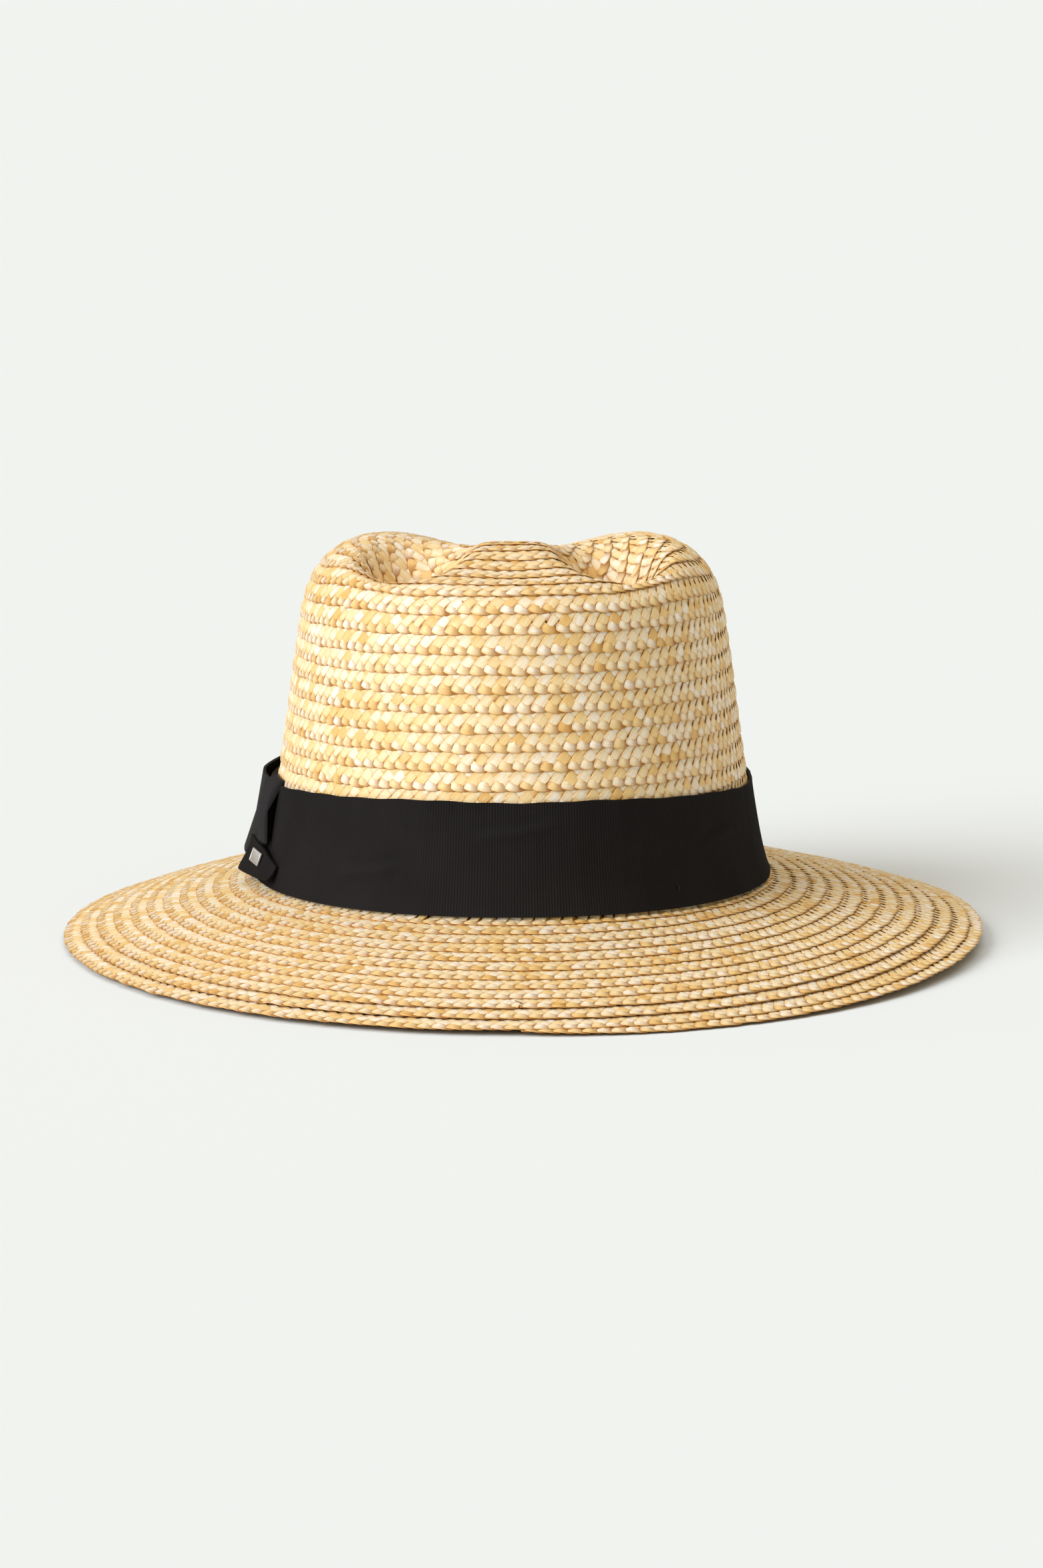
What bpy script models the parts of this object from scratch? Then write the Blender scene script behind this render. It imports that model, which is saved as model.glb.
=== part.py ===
"""Straw sun hat: a braided straw crown and brim, a black grosgrain hatband with a side bow, and a sweatband.

The front of the hat faces -Y, its bow is on the -X side, and it stands on z = 0. Every sheet starts as a flat or
turned sheet and is then pressed onto the same head oval, so the pieces follow one another when a size changes.
"""

import math

import bmesh
import bpy
from mathutils import Matrix, Vector

MM = 0.001

# Head oval, measured on the outside of the crown. R is the half width across the ears.
HEAD_HALF_WIDTH = 84.3 * MM
HEAD_EXTRA_LENGTH = 18.2 * MM
OVAL_BLEND_RADIUS = 66.0 * MM
CROWN_LEAN = -3.0 * MM

# Crown.
CROWN_HEIGHT = 119.5 * MM
CROWN_TAPER = 0.137
CROWN_FLARE = 2.5 * MM
CROWN_FLARE_HEIGHT = 7.0 * MM
SHOULDER_DEPTH = 39.5 * MM
SHOULDER_SQUARENESS = 3.8
STRAW_THICKNESS = 2.2 * MM
DENT_DEPTH = 26.0 * MM
DENT_SIDE = 32.5 * MM
DENT_FORWARD = 31.0 * MM
DENT_HALF_WIDTH = 14.0 * MM
DENT_HALF_LENGTH = 23.0 * MM
DENT_STEEPNESS = 1.4
BACK_VALLEY_DEPTH = 15.5 * MM
BACK_VALLEY_HALF_WIDTH = 35.0 * MM
BACK_VALLEY_START = -52.0 * MM
BACK_VALLEY_LENGTH = 95.0 * MM
FRONT_DIP = 5.5 * MM
FRONT_DIP_INSET = 22.0 * MM
FRONT_DIP_HALF_WIDTH = 36.0 * MM
FRONT_DIP_HALF_LENGTH = 19.0 * MM

# Brim.
BRIM_WIDTH = 69.3 * MM
BRIM_EXTRA_LENGTH = 2.6 * MM
BRIM_DROP = 24.1 * MM
BRIM_SIDE_DIP = 2.7 * MM
EDGE_BRAID_WIDTH = 8.0 * MM
EDGE_BRAID_HEIGHT = 2.8 * MM
RIGHT_EDGE_RAISE = 3.6 * MM
RAISE_START = 0.35

# Hatband ribbon, bow and badge.
RIBBON_HEIGHT = 37.0 * MM
RIBBON_THICKNESS = 0.8 * MM
BOW_ANGLE = 0.20
BOW_LOOP_LENGTH = 78.0 * MM
BOW_LOOP_BULGE = 2.4 * MM
KNOT_WIDTH = 16.0 * MM
KNOT_BULGE = 1.6 * MM
FLAP_WIDTH = 34.0 * MM
FLAP_HEIGHT = 11.5 * MM
FLAP_DROP = 1.7 * MM
FLAP_FORWARD = 3.0 * MM
FLAP_STAND_OFF = 1.2 * MM
FLAP_FLARE = 2.4 * MM
BADGE_WIDTH = 11.0 * MM
BADGE_HEIGHT = 4.5 * MM
BADGE_THICKNESS = 0.8 * MM
BADGE_PIN_RADIUS = 0.4 * MM
BADGE_PIN_SPACING = 6.4 * MM

# Sweatband, its joint tape and the size label.
SWEATBAND_HEIGHT = 30.0 * MM
SWEATBAND_THICKNESS = 0.8 * MM
JOINT_TAPE_WIDTH = 22.0 * MM
JOINT_TAPE_THICKNESS = 0.5 * MM
LABEL_WIDTH = 20.0 * MM
LABEL_LENGTH = 15.0 * MM
LABEL_THICKNESS = 0.6 * MM
LABEL_TOP = 24.0 * MM

# Thread tacks that hold the ribbon to the crown, as angles round the oval in degrees.
TACK_ANGLES = {"front_right": -51.0, "right": 8.0, "back": 90.0}
TACK_HEIGHT = 7.0 * MM
TACK_LENGTH = 2.6 * MM
TACK_RADIUS = 0.45 * MM

GAP = 0.3 * MM
SEAM_CLEARANCE = 1.3 * MM
ROUND_STEPS = 72


# --- The shape that every piece is pressed onto -----------------------------------------------------------------


def crown_radius(height):
    """Half width of the crown's outside at a height above the headline, below its shoulder."""
    flare = CROWN_FLARE * math.exp(-max(height, 0.0) / CROWN_FLARE_HEIGHT)
    return HEAD_HALF_WIDTH - CROWN_TAPER * height + flare


def headline_radius():
    return crown_radius(0.0)


def edge_radius():
    return headline_radius() + BRIM_WIDTH


def brim_share(radius):
    """0 at the headline and inside it, 1 at the outer edge of the brim."""
    return min(max((radius - headline_radius()) / BRIM_WIDTH, 0.0), 1.0)


def edge_raise(angle):
    """How far the right side of the brim stands off the table."""
    return RIGHT_EDGE_RAISE * max(0.0, (math.cos(angle) - RAISE_START) / (1.0 - RAISE_START)) ** 2


def headline_height(angle):
    """The headline dips at the sides of the head."""
    return BRIM_DROP - BRIM_SIDE_DIP * math.cos(angle) ** 2


def smooth_step(share):
    share = min(max(share, 0.0), 1.0)
    return share * share * (3.0 - 2.0 * share)


def shoulder_share(height):
    """0 on the crown's wall, rising smoothly to 1 at the top of the crown."""
    return smooth_step((height - CROWN_HEIGHT + SHOULDER_DEPTH) / SHOULDER_DEPTH)


def ground_height(radius, angle):
    """Height of the brim's top face, or of the headline for everything inside it."""
    share = brim_share(radius)
    edge_top = edge_raise(angle) + EDGE_BRAID_HEIGHT
    return headline_height(angle) * (1.0 - share) + edge_top * share


def dents(x, y):
    """Depth of the two front pinches, the valley behind the middle ridge and the dip along the front."""
    behind = smooth_step((y - BACK_VALLEY_START) / BACK_VALLEY_LENGTH)
    depth = BACK_VALLEY_DEPTH * math.exp(-((x / BACK_VALLEY_HALF_WIDTH) ** 2)) * behind
    for side in (-1.0, 1.0):
        across = (x - side * DENT_SIDE) / DENT_HALF_WIDTH
        along = (y + DENT_FORWARD) / DENT_HALF_LENGTH
        depth += DENT_DEPTH * math.exp(-((across**2 + along**2) ** DENT_STEEPNESS))
    middle = FRONT_DIP_INSET - (HEAD_HALF_WIDTH + HEAD_EXTRA_LENGTH - CROWN_TAPER * CROWN_HEIGHT)
    depth += FRONT_DIP * math.exp(-((x / FRONT_DIP_HALF_WIDTH) ** 2) - ((y - middle) / FRONT_DIP_HALF_LENGTH) ** 2)
    return depth


def pressed(radius, angle, height):
    """Point of the hat: a turned point (radius, angle, height above the headline) pressed onto the head oval."""
    longer = HEAD_EXTRA_LENGTH * min(1.0, radius / OVAL_BLEND_RADIUS)
    longer += BRIM_EXTRA_LENGTH * brim_share(radius)
    x = radius * math.cos(angle)
    y = (radius + longer) * math.sin(angle)
    top = shoulder_share(height)
    level = BRIM_DROP - BRIM_SIDE_DIP
    z = ground_height(radius, angle) * (1.0 - top) + level * top + height - top * dents(x, y)
    x += CROWN_LEAN * (1.0 - brim_share(radius))
    return Vector((x, y, z))


def band_point(angle, height, offset):
    """Point that stands off the crown's outside by an offset, at a height above the headline."""
    point = pressed(crown_radius(height), angle, height)
    ahead = pressed(crown_radius(height), angle + 0.001, height) - point
    above = pressed(crown_radius(height + 0.1 * MM), angle, height + 0.1 * MM) - point
    return point + ahead.cross(above).normalized() * offset


def band_angle(distance):
    """Angle round the oval at a distance behind the bow's knot; the side of the oval curves gently there."""
    half_length = crown_radius(RIBBON_HEIGHT / 2) + HEAD_EXTRA_LENGTH
    return math.pi + BOW_ANGLE - distance / half_length


# --- Modelling helpers ------------------------------------------------------------------------------------------


def clear_scene():
    for old in list(bpy.data.objects):
        bpy.data.objects.remove(old, do_unlink=True)
    for old in list(bpy.data.collections):
        bpy.data.collections.remove(old)


def make_material(name, colour, roughness, metallic=0.0):
    made = bpy.data.materials.new(name)
    made.use_nodes = True
    shader = made.node_tree.nodes["Principled BSDF"]
    shader.inputs["Base Color"].default_value = (*colour, 1.0)
    shader.inputs["Roughness"].default_value = roughness
    shader.inputs["Metallic"].default_value = metallic
    return made


def add_object(name, mesh, material, collection):
    made = bpy.data.objects.new(name, mesh)
    collection.objects.link(made)
    mesh.materials.clear()
    mesh.materials.append(material)
    return made


def baked_mesh(source):
    """The evaluated mesh of an object, which is then removed."""
    mesh = bpy.data.meshes.new_from_object(source.evaluated_get(bpy.context.evaluated_depsgraph_get()))
    bpy.data.objects.remove(source, do_unlink=True)
    return mesh


def thicken(made, thickness, offset, even=True):
    shell = made.modifiers.new("thickness", "SOLIDIFY")
    shell.thickness = thickness
    shell.offset = offset
    shell.use_even_offset = even
    shell.use_rim = True


def face_outward(mesh):
    work = bmesh.new()
    work.from_mesh(mesh)
    bmesh.ops.remove_doubles(work, verts=work.verts, dist=0.001 * MM)
    bmesh.ops.recalc_face_normals(work, faces=work.faces)
    work.to_mesh(mesh)
    work.free()


def turned(profile, closed):
    """Mesh of a profile of (radius, height) points turned about Z."""
    mesh = bpy.data.meshes.new("profile")
    count = len(profile)
    edges = [(index, index + 1) for index in range(count - 1)]
    if closed:
        edges.append((count - 1, 0))
    mesh.from_pydata([(radius, 0.0, height) for radius, height in profile], edges, [])
    source = bpy.data.objects.new("profile", mesh)
    bpy.context.scene.collection.objects.link(source)
    screw = source.modifiers.new("turn", "SCREW")
    screw.steps = ROUND_STEPS
    screw.render_steps = ROUND_STEPS
    screw.use_merge_vertices = True
    screw.merge_threshold = 0.01 * MM
    bpy.context.view_layer.update()
    turned_mesh = baked_mesh(source)
    bpy.data.meshes.remove(mesh)
    face_outward(turned_mesh)
    return turned_mesh


def press_mesh(mesh, place=pressed):
    """Move every vertex of a turned mesh onto the head oval."""
    for vertex in mesh.vertices:
        radius = math.hypot(vertex.co.x, vertex.co.y)
        angle = math.atan2(vertex.co.y, vertex.co.x)
        vertex.co = place(radius, angle, vertex.co.z)
    face_outward(mesh)


def strip(name, columns, rows, place, thickness, material, collection):
    """Ribbon made from a flat grid: place(along, up), both 0 to 1, gives each point of its middle surface."""
    bpy.ops.mesh.primitive_grid_add(x_subdivisions=columns, y_subdivisions=rows, size=1.0)
    grid = bpy.context.object
    for vertex in grid.data.vertices:
        vertex.co = place(vertex.co.x + 0.5, vertex.co.y + 0.5)
    mesh = grid.data
    bpy.data.objects.remove(grid, do_unlink=True)
    made = add_object(name, mesh, material, collection)
    thicken(made, thickness, 0.0)
    return made


def surface_frame(place, along, up):
    """Frame on a strip: X along it, Y up it, Z out of it, with its origin on the middle surface."""
    step = 0.01
    origin = place(along, up)
    x_axis = (place(along + step, up) - place(along - step, up)).normalized()
    z_axis = x_axis.cross(place(along, up + step) - place(along, up - step)).normalized()
    y_axis = z_axis.cross(x_axis)
    frame = Matrix((x_axis, y_axis, z_axis)).transposed().to_4x4()
    frame.translation = origin
    return frame


def rod(name, frame, radius, low, high, material, collection):
    """Cylinder along a frame's Z, from low to high."""
    mesh = bpy.data.meshes.new(name)
    work = bmesh.new()
    bmesh.ops.create_cone(
        work, cap_ends=True, segments=12, radius1=radius, radius2=radius, depth=high - low,
        matrix=Matrix.Translation((0.0, 0.0, (low + high) / 2)),
    )
    work.to_mesh(mesh)
    work.free()
    made = add_object(name, mesh, material, collection)
    made.matrix_world = frame
    return made


def boolean(target, tool, operation):
    cut = target.modifiers.new(operation.lower(), "BOOLEAN")
    cut.operation = operation
    cut.object = tool
    cut.solver = "EXACT"
    tool.hide_render = True
    tool.display_type = "WIRE"


# --- Straw ------------------------------------------------------------------------------------------------------


def crown_profile():
    """Outside of the crown from the headline seam up the wall and over the shoulder to the middle of the top."""
    shoulder = CROWN_HEIGHT - SHOULDER_DEPTH
    wall_steps = 12
    wall = []
    for step in range(wall_steps):
        share = (step / wall_steps) ** 1.3
        height = SEAM_CLEARANCE + (shoulder - SEAM_CLEARANCE) * share
        wall.append((crown_radius(height), height))
    top = []
    top_steps = 16
    power = 2.0 / SHOULDER_SQUARENESS
    for step in range(top_steps + 1):
        turn = math.pi / 2 * step / top_steps
        height = shoulder + SHOULDER_DEPTH * math.sin(turn) ** power
        radius = crown_radius(height) * max(math.cos(turn), 0.0) ** power
        top.append((radius if step < top_steps else 0.0, height))
    return wall + spread(top)


def spread(points):
    """The same line with its points spaced evenly, since the shoulder's formula bunches them at both ends."""
    lengths = [0.0]
    for first, second in zip(points, points[1:]):
        lengths.append(lengths[-1] + math.dist(first, second))
    count = len(points)
    even = []
    for index in range(count - 1):
        target = lengths[-1] * index / (count - 1)
        place = max(k for k in range(count - 1) if lengths[k] <= target)
        share = (target - lengths[place]) / (lengths[place + 1] - lengths[place])
        first, second = points[place], points[place + 1]
        even.append(tuple(first[axis] + share * (second[axis] - first[axis]) for axis in (0, 1)))
    return even + [points[-1]]


def build_crown(straw, collection):
    mesh = turned(crown_profile(), closed=False)
    press_mesh(mesh)
    # An even offset spikes in the sharp pinches of the top.
    thicken(add_object("crown", mesh, straw, collection), STRAW_THICKNESS, -1.0, even=False)


def build_brim(straw, collection):
    """Brim sheet from just inside the headline to the edge braid."""
    inner = headline_radius() - STRAW_THICKNESS
    outer = edge_radius() - EDGE_BRAID_WIDTH - GAP
    steps = 8
    profile = []
    for top, order in ((True, range(steps + 1)), (False, range(steps, -1, -1))):
        for step in order:
            radius = inner + (outer - inner) * step / steps
            profile.append((radius, 0.0 if top else -STRAW_THICKNESS))
    mesh = turned(profile, closed=True)
    press_mesh(mesh)
    add_object("brim", mesh, straw, collection)


def edge_point(radius, angle, height):
    """The edge braid's own section: heights are measured from the table, so that its underside is flat."""
    point = pressed(radius, angle, 0.0)
    point.z = edge_raise(angle) + height
    return point


def build_edge_braid(straw, collection):
    """Doubled outer row, with a flat underside that the hat stands on and a rounded top."""
    outer = edge_radius()
    inner = outer - EDGE_BRAID_WIDTH
    corner = EDGE_BRAID_HEIGHT * 0.35
    profile = [
        (inner, 0.0),
        (outer - corner, 0.0),
        (outer, corner),
        (outer, EDGE_BRAID_HEIGHT - corner),
        (outer - corner, EDGE_BRAID_HEIGHT),
        (inner, EDGE_BRAID_HEIGHT),
    ]
    mesh = turned(profile, closed=True)
    press_mesh(mesh, edge_point)
    add_object("brim_edge_braid", mesh, straw, collection)


# --- Hatband and bow --------------------------------------------------------------------------------------------


def ribbon_middle():
    """Offset of the hatband ribbon's middle surface from the crown."""
    return GAP + RIBBON_THICKNESS / 2


def build_hatband(ribbon, collection):
    steps = 9
    low, high = SEAM_CLEARANCE, RIBBON_HEIGHT
    heights = [low + (high - low) * (step / steps) ** 1.3 for step in range(steps + 1)]
    profile = [(crown_radius(height), height) for height in heights]
    mesh = turned(profile, closed=False)
    press_mesh(mesh, lambda radius, angle, height: band_point(angle, height, ribbon_middle()))
    thicken(add_object("hatband_ribbon", mesh, ribbon, collection), RIBBON_THICKNESS, 0.0)


def loop_point(along, up):
    """Flat bow loop: an inner layer on the hatband, a round turn at the back and an outer layer over it."""
    inner = ribbon_middle() + RIBBON_THICKNESS + GAP
    pinched = inner + RIBBON_THICKNESS + GAP
    turn_start, turn_end = 0.46, 0.54
    if along < turn_start:
        distance = BOW_LOOP_LENGTH * along / turn_start
        free = max(0.0, distance - KNOT_WIDTH / 2) / (BOW_LOOP_LENGTH - KNOT_WIDTH / 2)
        offset = pinched + BOW_LOOP_BULGE * math.sin(math.pi / 2 * free)
    elif along > turn_end:
        share = (1.0 - along) / (1.0 - turn_end)
        offset = inner
        distance = BOW_LOOP_LENGTH * share
    else:
        turn = math.pi * (along - turn_start) / (turn_end - turn_start)
        radius = (pinched + BOW_LOOP_BULGE - inner) / 2
        offset = inner + radius + radius * math.cos(turn)
        distance = BOW_LOOP_LENGTH + radius * math.sin(turn)
    low, high = 2 * SEAM_CLEARANCE, RIBBON_HEIGHT - 2 * SEAM_CLEARANCE
    return band_point(band_angle(distance), low + (high - low) * up, offset)


def loop_stack():
    """Offset of the outside of the loop's two layers where the knot pinches them."""
    return ribbon_middle() + 2 * (RIBBON_THICKNESS + GAP) + RIBBON_THICKNESS / 2


def knot_point(along, up):
    """Strip over the front end of the loop, folded in over the top of the hatband and bowed out in the middle."""
    low = FLAP_HEIGHT + 2 * GAP + RIBBON_THICKNESS
    high = RIBBON_HEIGHT + RIBBON_THICKNESS
    height = low + (high - low) * up
    fold = max(0.0, (up - 0.8) / 0.2)
    full = loop_stack() + GAP + RIBBON_THICKNESS / 2 + KNOT_BULGE * math.sin(math.pi * min(up / 0.9, 1.0))
    offset = full + (ribbon_middle() - full) * (1.0 - math.sqrt(max(0.0, 1.0 - fold * fold)))
    return band_point(band_angle(KNOT_WIDTH * (0.5 - along)), height, offset)


def flap_point(along, up):
    """Ribbon end below the knot, flared out over the brim."""
    height = -FLAP_DROP + (FLAP_HEIGHT + FLAP_DROP) * up
    offset = loop_stack() + GAP + RIBBON_THICKNESS / 2 + FLAP_STAND_OFF + FLAP_FLARE * (1.0 - up) ** 1.5
    return band_point(band_angle(FLAP_WIDTH * (0.5 - along) - FLAP_FORWARD), height, offset)


def flap_hinge_frame():
    """The line that the flap folds on, with its Y along the chord of the flap's top edge."""
    back_end, front_end = flap_point(1.0, 1.0), flap_point(0.0, 1.0)
    y_axis = (front_end - back_end).normalized()
    if y_axis.y < 0.0:
        y_axis = -y_axis
    x_axis = y_axis.cross(Vector((0.0, 0.0, 1.0))).normalized()
    frame = Matrix((x_axis, y_axis, x_axis.cross(y_axis))).transposed().to_4x4()
    frame.translation = (back_end + front_end) / 2
    return frame


def build_bow(ribbon, metal, collection, helpers):
    strip("bow_loop", 60, 4, loop_point, RIBBON_THICKNESS, ribbon, collection)
    strip("bow_knot", 5, 14, knot_point, RIBBON_THICKNESS, ribbon, collection)
    flap = strip("bow_flap", 10, 5, flap_point, RIBBON_THICKNESS, ribbon, collection)
    hinge = bpy.data.objects.new("bow_flap_hinge", None)
    collection.objects.link(hinge)
    hinge.matrix_world = flap_hinge_frame()
    under_knot = 0.5 - FLAP_FORWARD / FLAP_WIDTH
    frame = surface_frame(flap_point, under_knot, 0.6)
    back = RIBBON_THICKNESS / 2 + GAP
    mesh = bpy.data.meshes.new("badge")
    work = bmesh.new()
    bmesh.ops.create_cube(
        work, size=1.0,
        matrix=Matrix.Translation((0.0, 0.0, back + BADGE_THICKNESS / 2))
        @ Matrix.Diagonal((BADGE_WIDTH, BADGE_HEIGHT, BADGE_THICKNESS, 1.0)),
    )
    work.to_mesh(mesh)
    work.free()
    badge = add_object("badge_plate", mesh, metal, collection)
    badge.matrix_world = frame
    for side in (-1.0, 1.0):
        place = frame @ Matrix.Translation((side * BADGE_PIN_SPACING / 2, 0.0, 0.0))
        pin = rod("badge_pin_tool", place, BADGE_PIN_RADIUS, -back - GAP, back + BADGE_THICKNESS / 2, metal, helpers)
        boolean(badge, pin, "UNION")
        hole = rod("flap_hole_tool", place, BADGE_PIN_RADIUS + GAP, -2 * MM, 2 * MM, metal, helpers)
        boolean(flap, hole, "DIFFERENCE")
    bpy.context.view_layer.update()
    for moving in (flap, badge):
        moving.parent = hinge
        moving.matrix_parent_inverse = hinge.matrix_world.inverted()


def build_tacks(thread, collection):
    """Small thread stitches that stand on the ribbon and hold it to the crown."""
    for name, degrees in TACK_ANGLES.items():
        offset = ribbon_middle() + RIBBON_THICKNESS / 2 + GAP + TACK_RADIUS
        angle = math.radians(degrees)
        foot = band_point(angle, TACK_HEIGHT - TACK_LENGTH / 2, offset)
        head = band_point(angle, TACK_HEIGHT + TACK_LENGTH / 2, offset)
        frame = (head - foot).to_track_quat("Z", "Y").to_matrix().to_4x4()
        frame.translation = (head + foot) / 2
        rod(f"hatband_tack_{name}", frame, TACK_RADIUS, -TACK_LENGTH / 2, TACK_LENGTH / 2, thread, collection)


# --- Inside -----------------------------------------------------------------------------------------------------


def sweatband_radius(height, depth):
    """Half width of a layer that lies a depth inside the crown's inner face, without the flare at the headline."""
    return HEAD_HALF_WIDTH - CROWN_TAPER * height - STRAW_THICKNESS - GAP - depth


def build_sweatband(cloth, collection):
    low, high = 0.0, SWEATBAND_HEIGHT
    steps = 5
    heights = [low + (high - low) * step / steps for step in range(steps + 1)]
    outer = [(sweatband_radius(height, 0.0), height) for height in heights]
    inner = [(sweatband_radius(height, SWEATBAND_THICKNESS), height) for height in reversed(heights)]
    mesh = turned(outer + inner, closed=True)
    press_mesh(mesh)
    add_object("sweatband", mesh, cloth, collection)


def inside_back(across, height, depth):
    """Point on the inside of the sweatband at the back of the head, a distance across it."""
    radius = sweatband_radius(height, SWEATBAND_THICKNESS + depth)
    return pressed(radius, math.pi / 2 - across / radius, height)


def build_joint_tape(cloth, collection):
    def place(along, up):
        height = SEAM_CLEARANCE + (SWEATBAND_HEIGHT - 2 * SEAM_CLEARANCE) * up
        return inside_back(JOINT_TAPE_WIDTH * (along - 0.5), height, GAP + JOINT_TAPE_THICKNESS / 2)

    strip("sweatband_joint_tape", 8, 5, place, JOINT_TAPE_THICKNESS, cloth, collection)


def label_hinge():
    """Middle of the size label's sewn top edge: the flat label clears the curved tape behind it."""
    curve = (LABEL_WIDTH / 2) ** 2 / (2 * sweatband_radius(LABEL_TOP, 0.0) * 0.75)
    depth = GAP + JOINT_TAPE_THICKNESS + GAP + LABEL_THICKNESS / 2 + curve
    return inside_back(0.0, LABEL_TOP, depth)


def build_size_label(paper, collection):
    """Blank woven label, sewn along its top edge; its origin is on the line that it folds on."""
    hinge = bpy.data.objects.new("size_label_hinge", None)
    collection.objects.link(hinge)
    hinge.location = label_hinge()
    mesh = bpy.data.meshes.new("size_label")
    work = bmesh.new()
    bmesh.ops.create_cube(
        work, size=1.0,
        matrix=Matrix.Translation((0.0, 0.0, -LABEL_LENGTH / 2))
        @ Matrix.Diagonal((LABEL_WIDTH, LABEL_THICKNESS, LABEL_LENGTH, 1.0)),
    )
    work.to_mesh(mesh)
    work.free()
    label = add_object("size_label", mesh, paper, collection)
    label.parent = hinge
    lean = label_hinge() - inside_back(0.0, LABEL_TOP - LABEL_LENGTH, 0.0)
    wall = label_hinge() - inside_back(0.0, LABEL_TOP, 0.0)
    label.rotation_euler = (math.atan2(wall.y - lean.y, LABEL_LENGTH), 0.0, 0.0)


def main():
    clear_scene()
    hat = bpy.data.collections.new("straw_sun_hat")
    helpers = bpy.data.collections.new("cutters")
    bpy.context.scene.collection.children.link(hat)
    bpy.context.scene.collection.children.link(helpers)
    straw = make_material("natural_straw", (0.80, 0.60, 0.33), 0.45)
    ribbon = make_material("black_grosgrain", (0.012, 0.011, 0.011), 0.6)
    thread = make_material("black_thread", (0.02, 0.02, 0.02), 0.7)
    cloth = make_material("sweatband_cloth", (0.03, 0.028, 0.027), 0.8)
    paper = make_material("woven_label", (0.75, 0.73, 0.68), 0.8)
    metal = make_material("badge_metal", (0.7, 0.7, 0.7), 0.3, 1.0)
    build_crown(straw, hat)
    build_brim(straw, hat)
    build_edge_braid(straw, hat)
    build_hatband(ribbon, hat)
    build_bow(ribbon, metal, hat, helpers)
    build_tacks(thread, hat)
    build_sweatband(cloth, hat)
    build_joint_tape(cloth, hat)
    build_size_label(paper, hat)


main()
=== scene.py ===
# %% [markdown]
# # A straw sun hat, made the way a hatter makes it
#
# A straw hat is one long plait of straw, sewn to itself in a spiral from the middle of the crown's top down to the
# edge of the brim, and then pressed into shape. A black ribbon with a flat side bow hides the line where the
# crown meets the brim, and a cloth band inside takes the wearer's forehead.
#
# The frame holds the pressed shape. This lesson lays the real straw, ribbon and thread on it.

import math

import bmesh
import bpy
import numpy as np
from mathutils import Matrix, Vector
from mathutils.bvhtree import BVHTree


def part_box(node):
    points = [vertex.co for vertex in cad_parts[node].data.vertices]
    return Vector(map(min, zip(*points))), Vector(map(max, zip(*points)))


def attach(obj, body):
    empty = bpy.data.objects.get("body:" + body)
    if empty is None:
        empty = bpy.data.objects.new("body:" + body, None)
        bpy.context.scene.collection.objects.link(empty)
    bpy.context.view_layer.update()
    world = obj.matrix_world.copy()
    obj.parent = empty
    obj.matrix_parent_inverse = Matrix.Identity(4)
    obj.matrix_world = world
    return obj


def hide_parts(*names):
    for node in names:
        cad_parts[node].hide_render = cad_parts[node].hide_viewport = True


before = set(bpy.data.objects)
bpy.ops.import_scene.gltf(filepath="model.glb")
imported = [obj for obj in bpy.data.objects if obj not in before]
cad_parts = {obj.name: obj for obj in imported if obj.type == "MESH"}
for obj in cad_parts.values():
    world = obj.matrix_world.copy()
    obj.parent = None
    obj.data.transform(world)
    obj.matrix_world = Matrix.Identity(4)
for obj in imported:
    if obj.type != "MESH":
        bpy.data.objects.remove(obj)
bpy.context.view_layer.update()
MM = 0.001

# %% [markdown]
# The camera comes first, because every later choice of detail depends on how near it stands. A long lens from two
# metres away keeps the brim's oval flat and quiet, and the camera looks a little down on the brim.

# %% Camera
LENS = 136.7
CAMERA_PLACE = Vector((0.0, -2.0, 0.377))
CAMERA_TARGET = Vector((0.0, 0.0, 0.0515))

camera_data = bpy.data.cameras.new("camera")
camera_data.lens = LENS
camera = bpy.data.objects.new("camera", camera_data)
camera.location = CAMERA_PLACE
camera.rotation_euler = (CAMERA_TARGET - CAMERA_PLACE).to_track_quat("-Z", "Y").to_euler()
bpy.context.scene.collection.objects.link(camera)
bpy.context.scene.camera = camera
bpy.context.scene.view_settings.view_transform = "Standard"
print("camera to hat:", round((CAMERA_PLACE - CAMERA_TARGET).length, 3), "m")

# %% [markdown]
# Straw, ribbon and bow all lie on the same two pressed sheets: the outside of the crown and the top of the brim.
# They could be modelled on the frame's own faces, but those are too coarse for 4 mm straws. So this step measures
# each sheet once, with rays, into a grid of points that any later piece can ask for a place: so far round the head,
# so far from the headline, so far off the surface.

# %% Measure the pressed sheets
ANGLES = 144
STATIONS = 121
RAY_CENTRE_DEPTH = 0.15
MERIDIAN_SAMPLES = 150
SLOPE_SAMPLES = 40
SEARCH_HALVINGS = 18
INNER_SHARE = 0.08
MIDDLE_SHARE = 0.8
EDGE_SHARE = 0.95
SHARE_BETWEEN = 0.72


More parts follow.
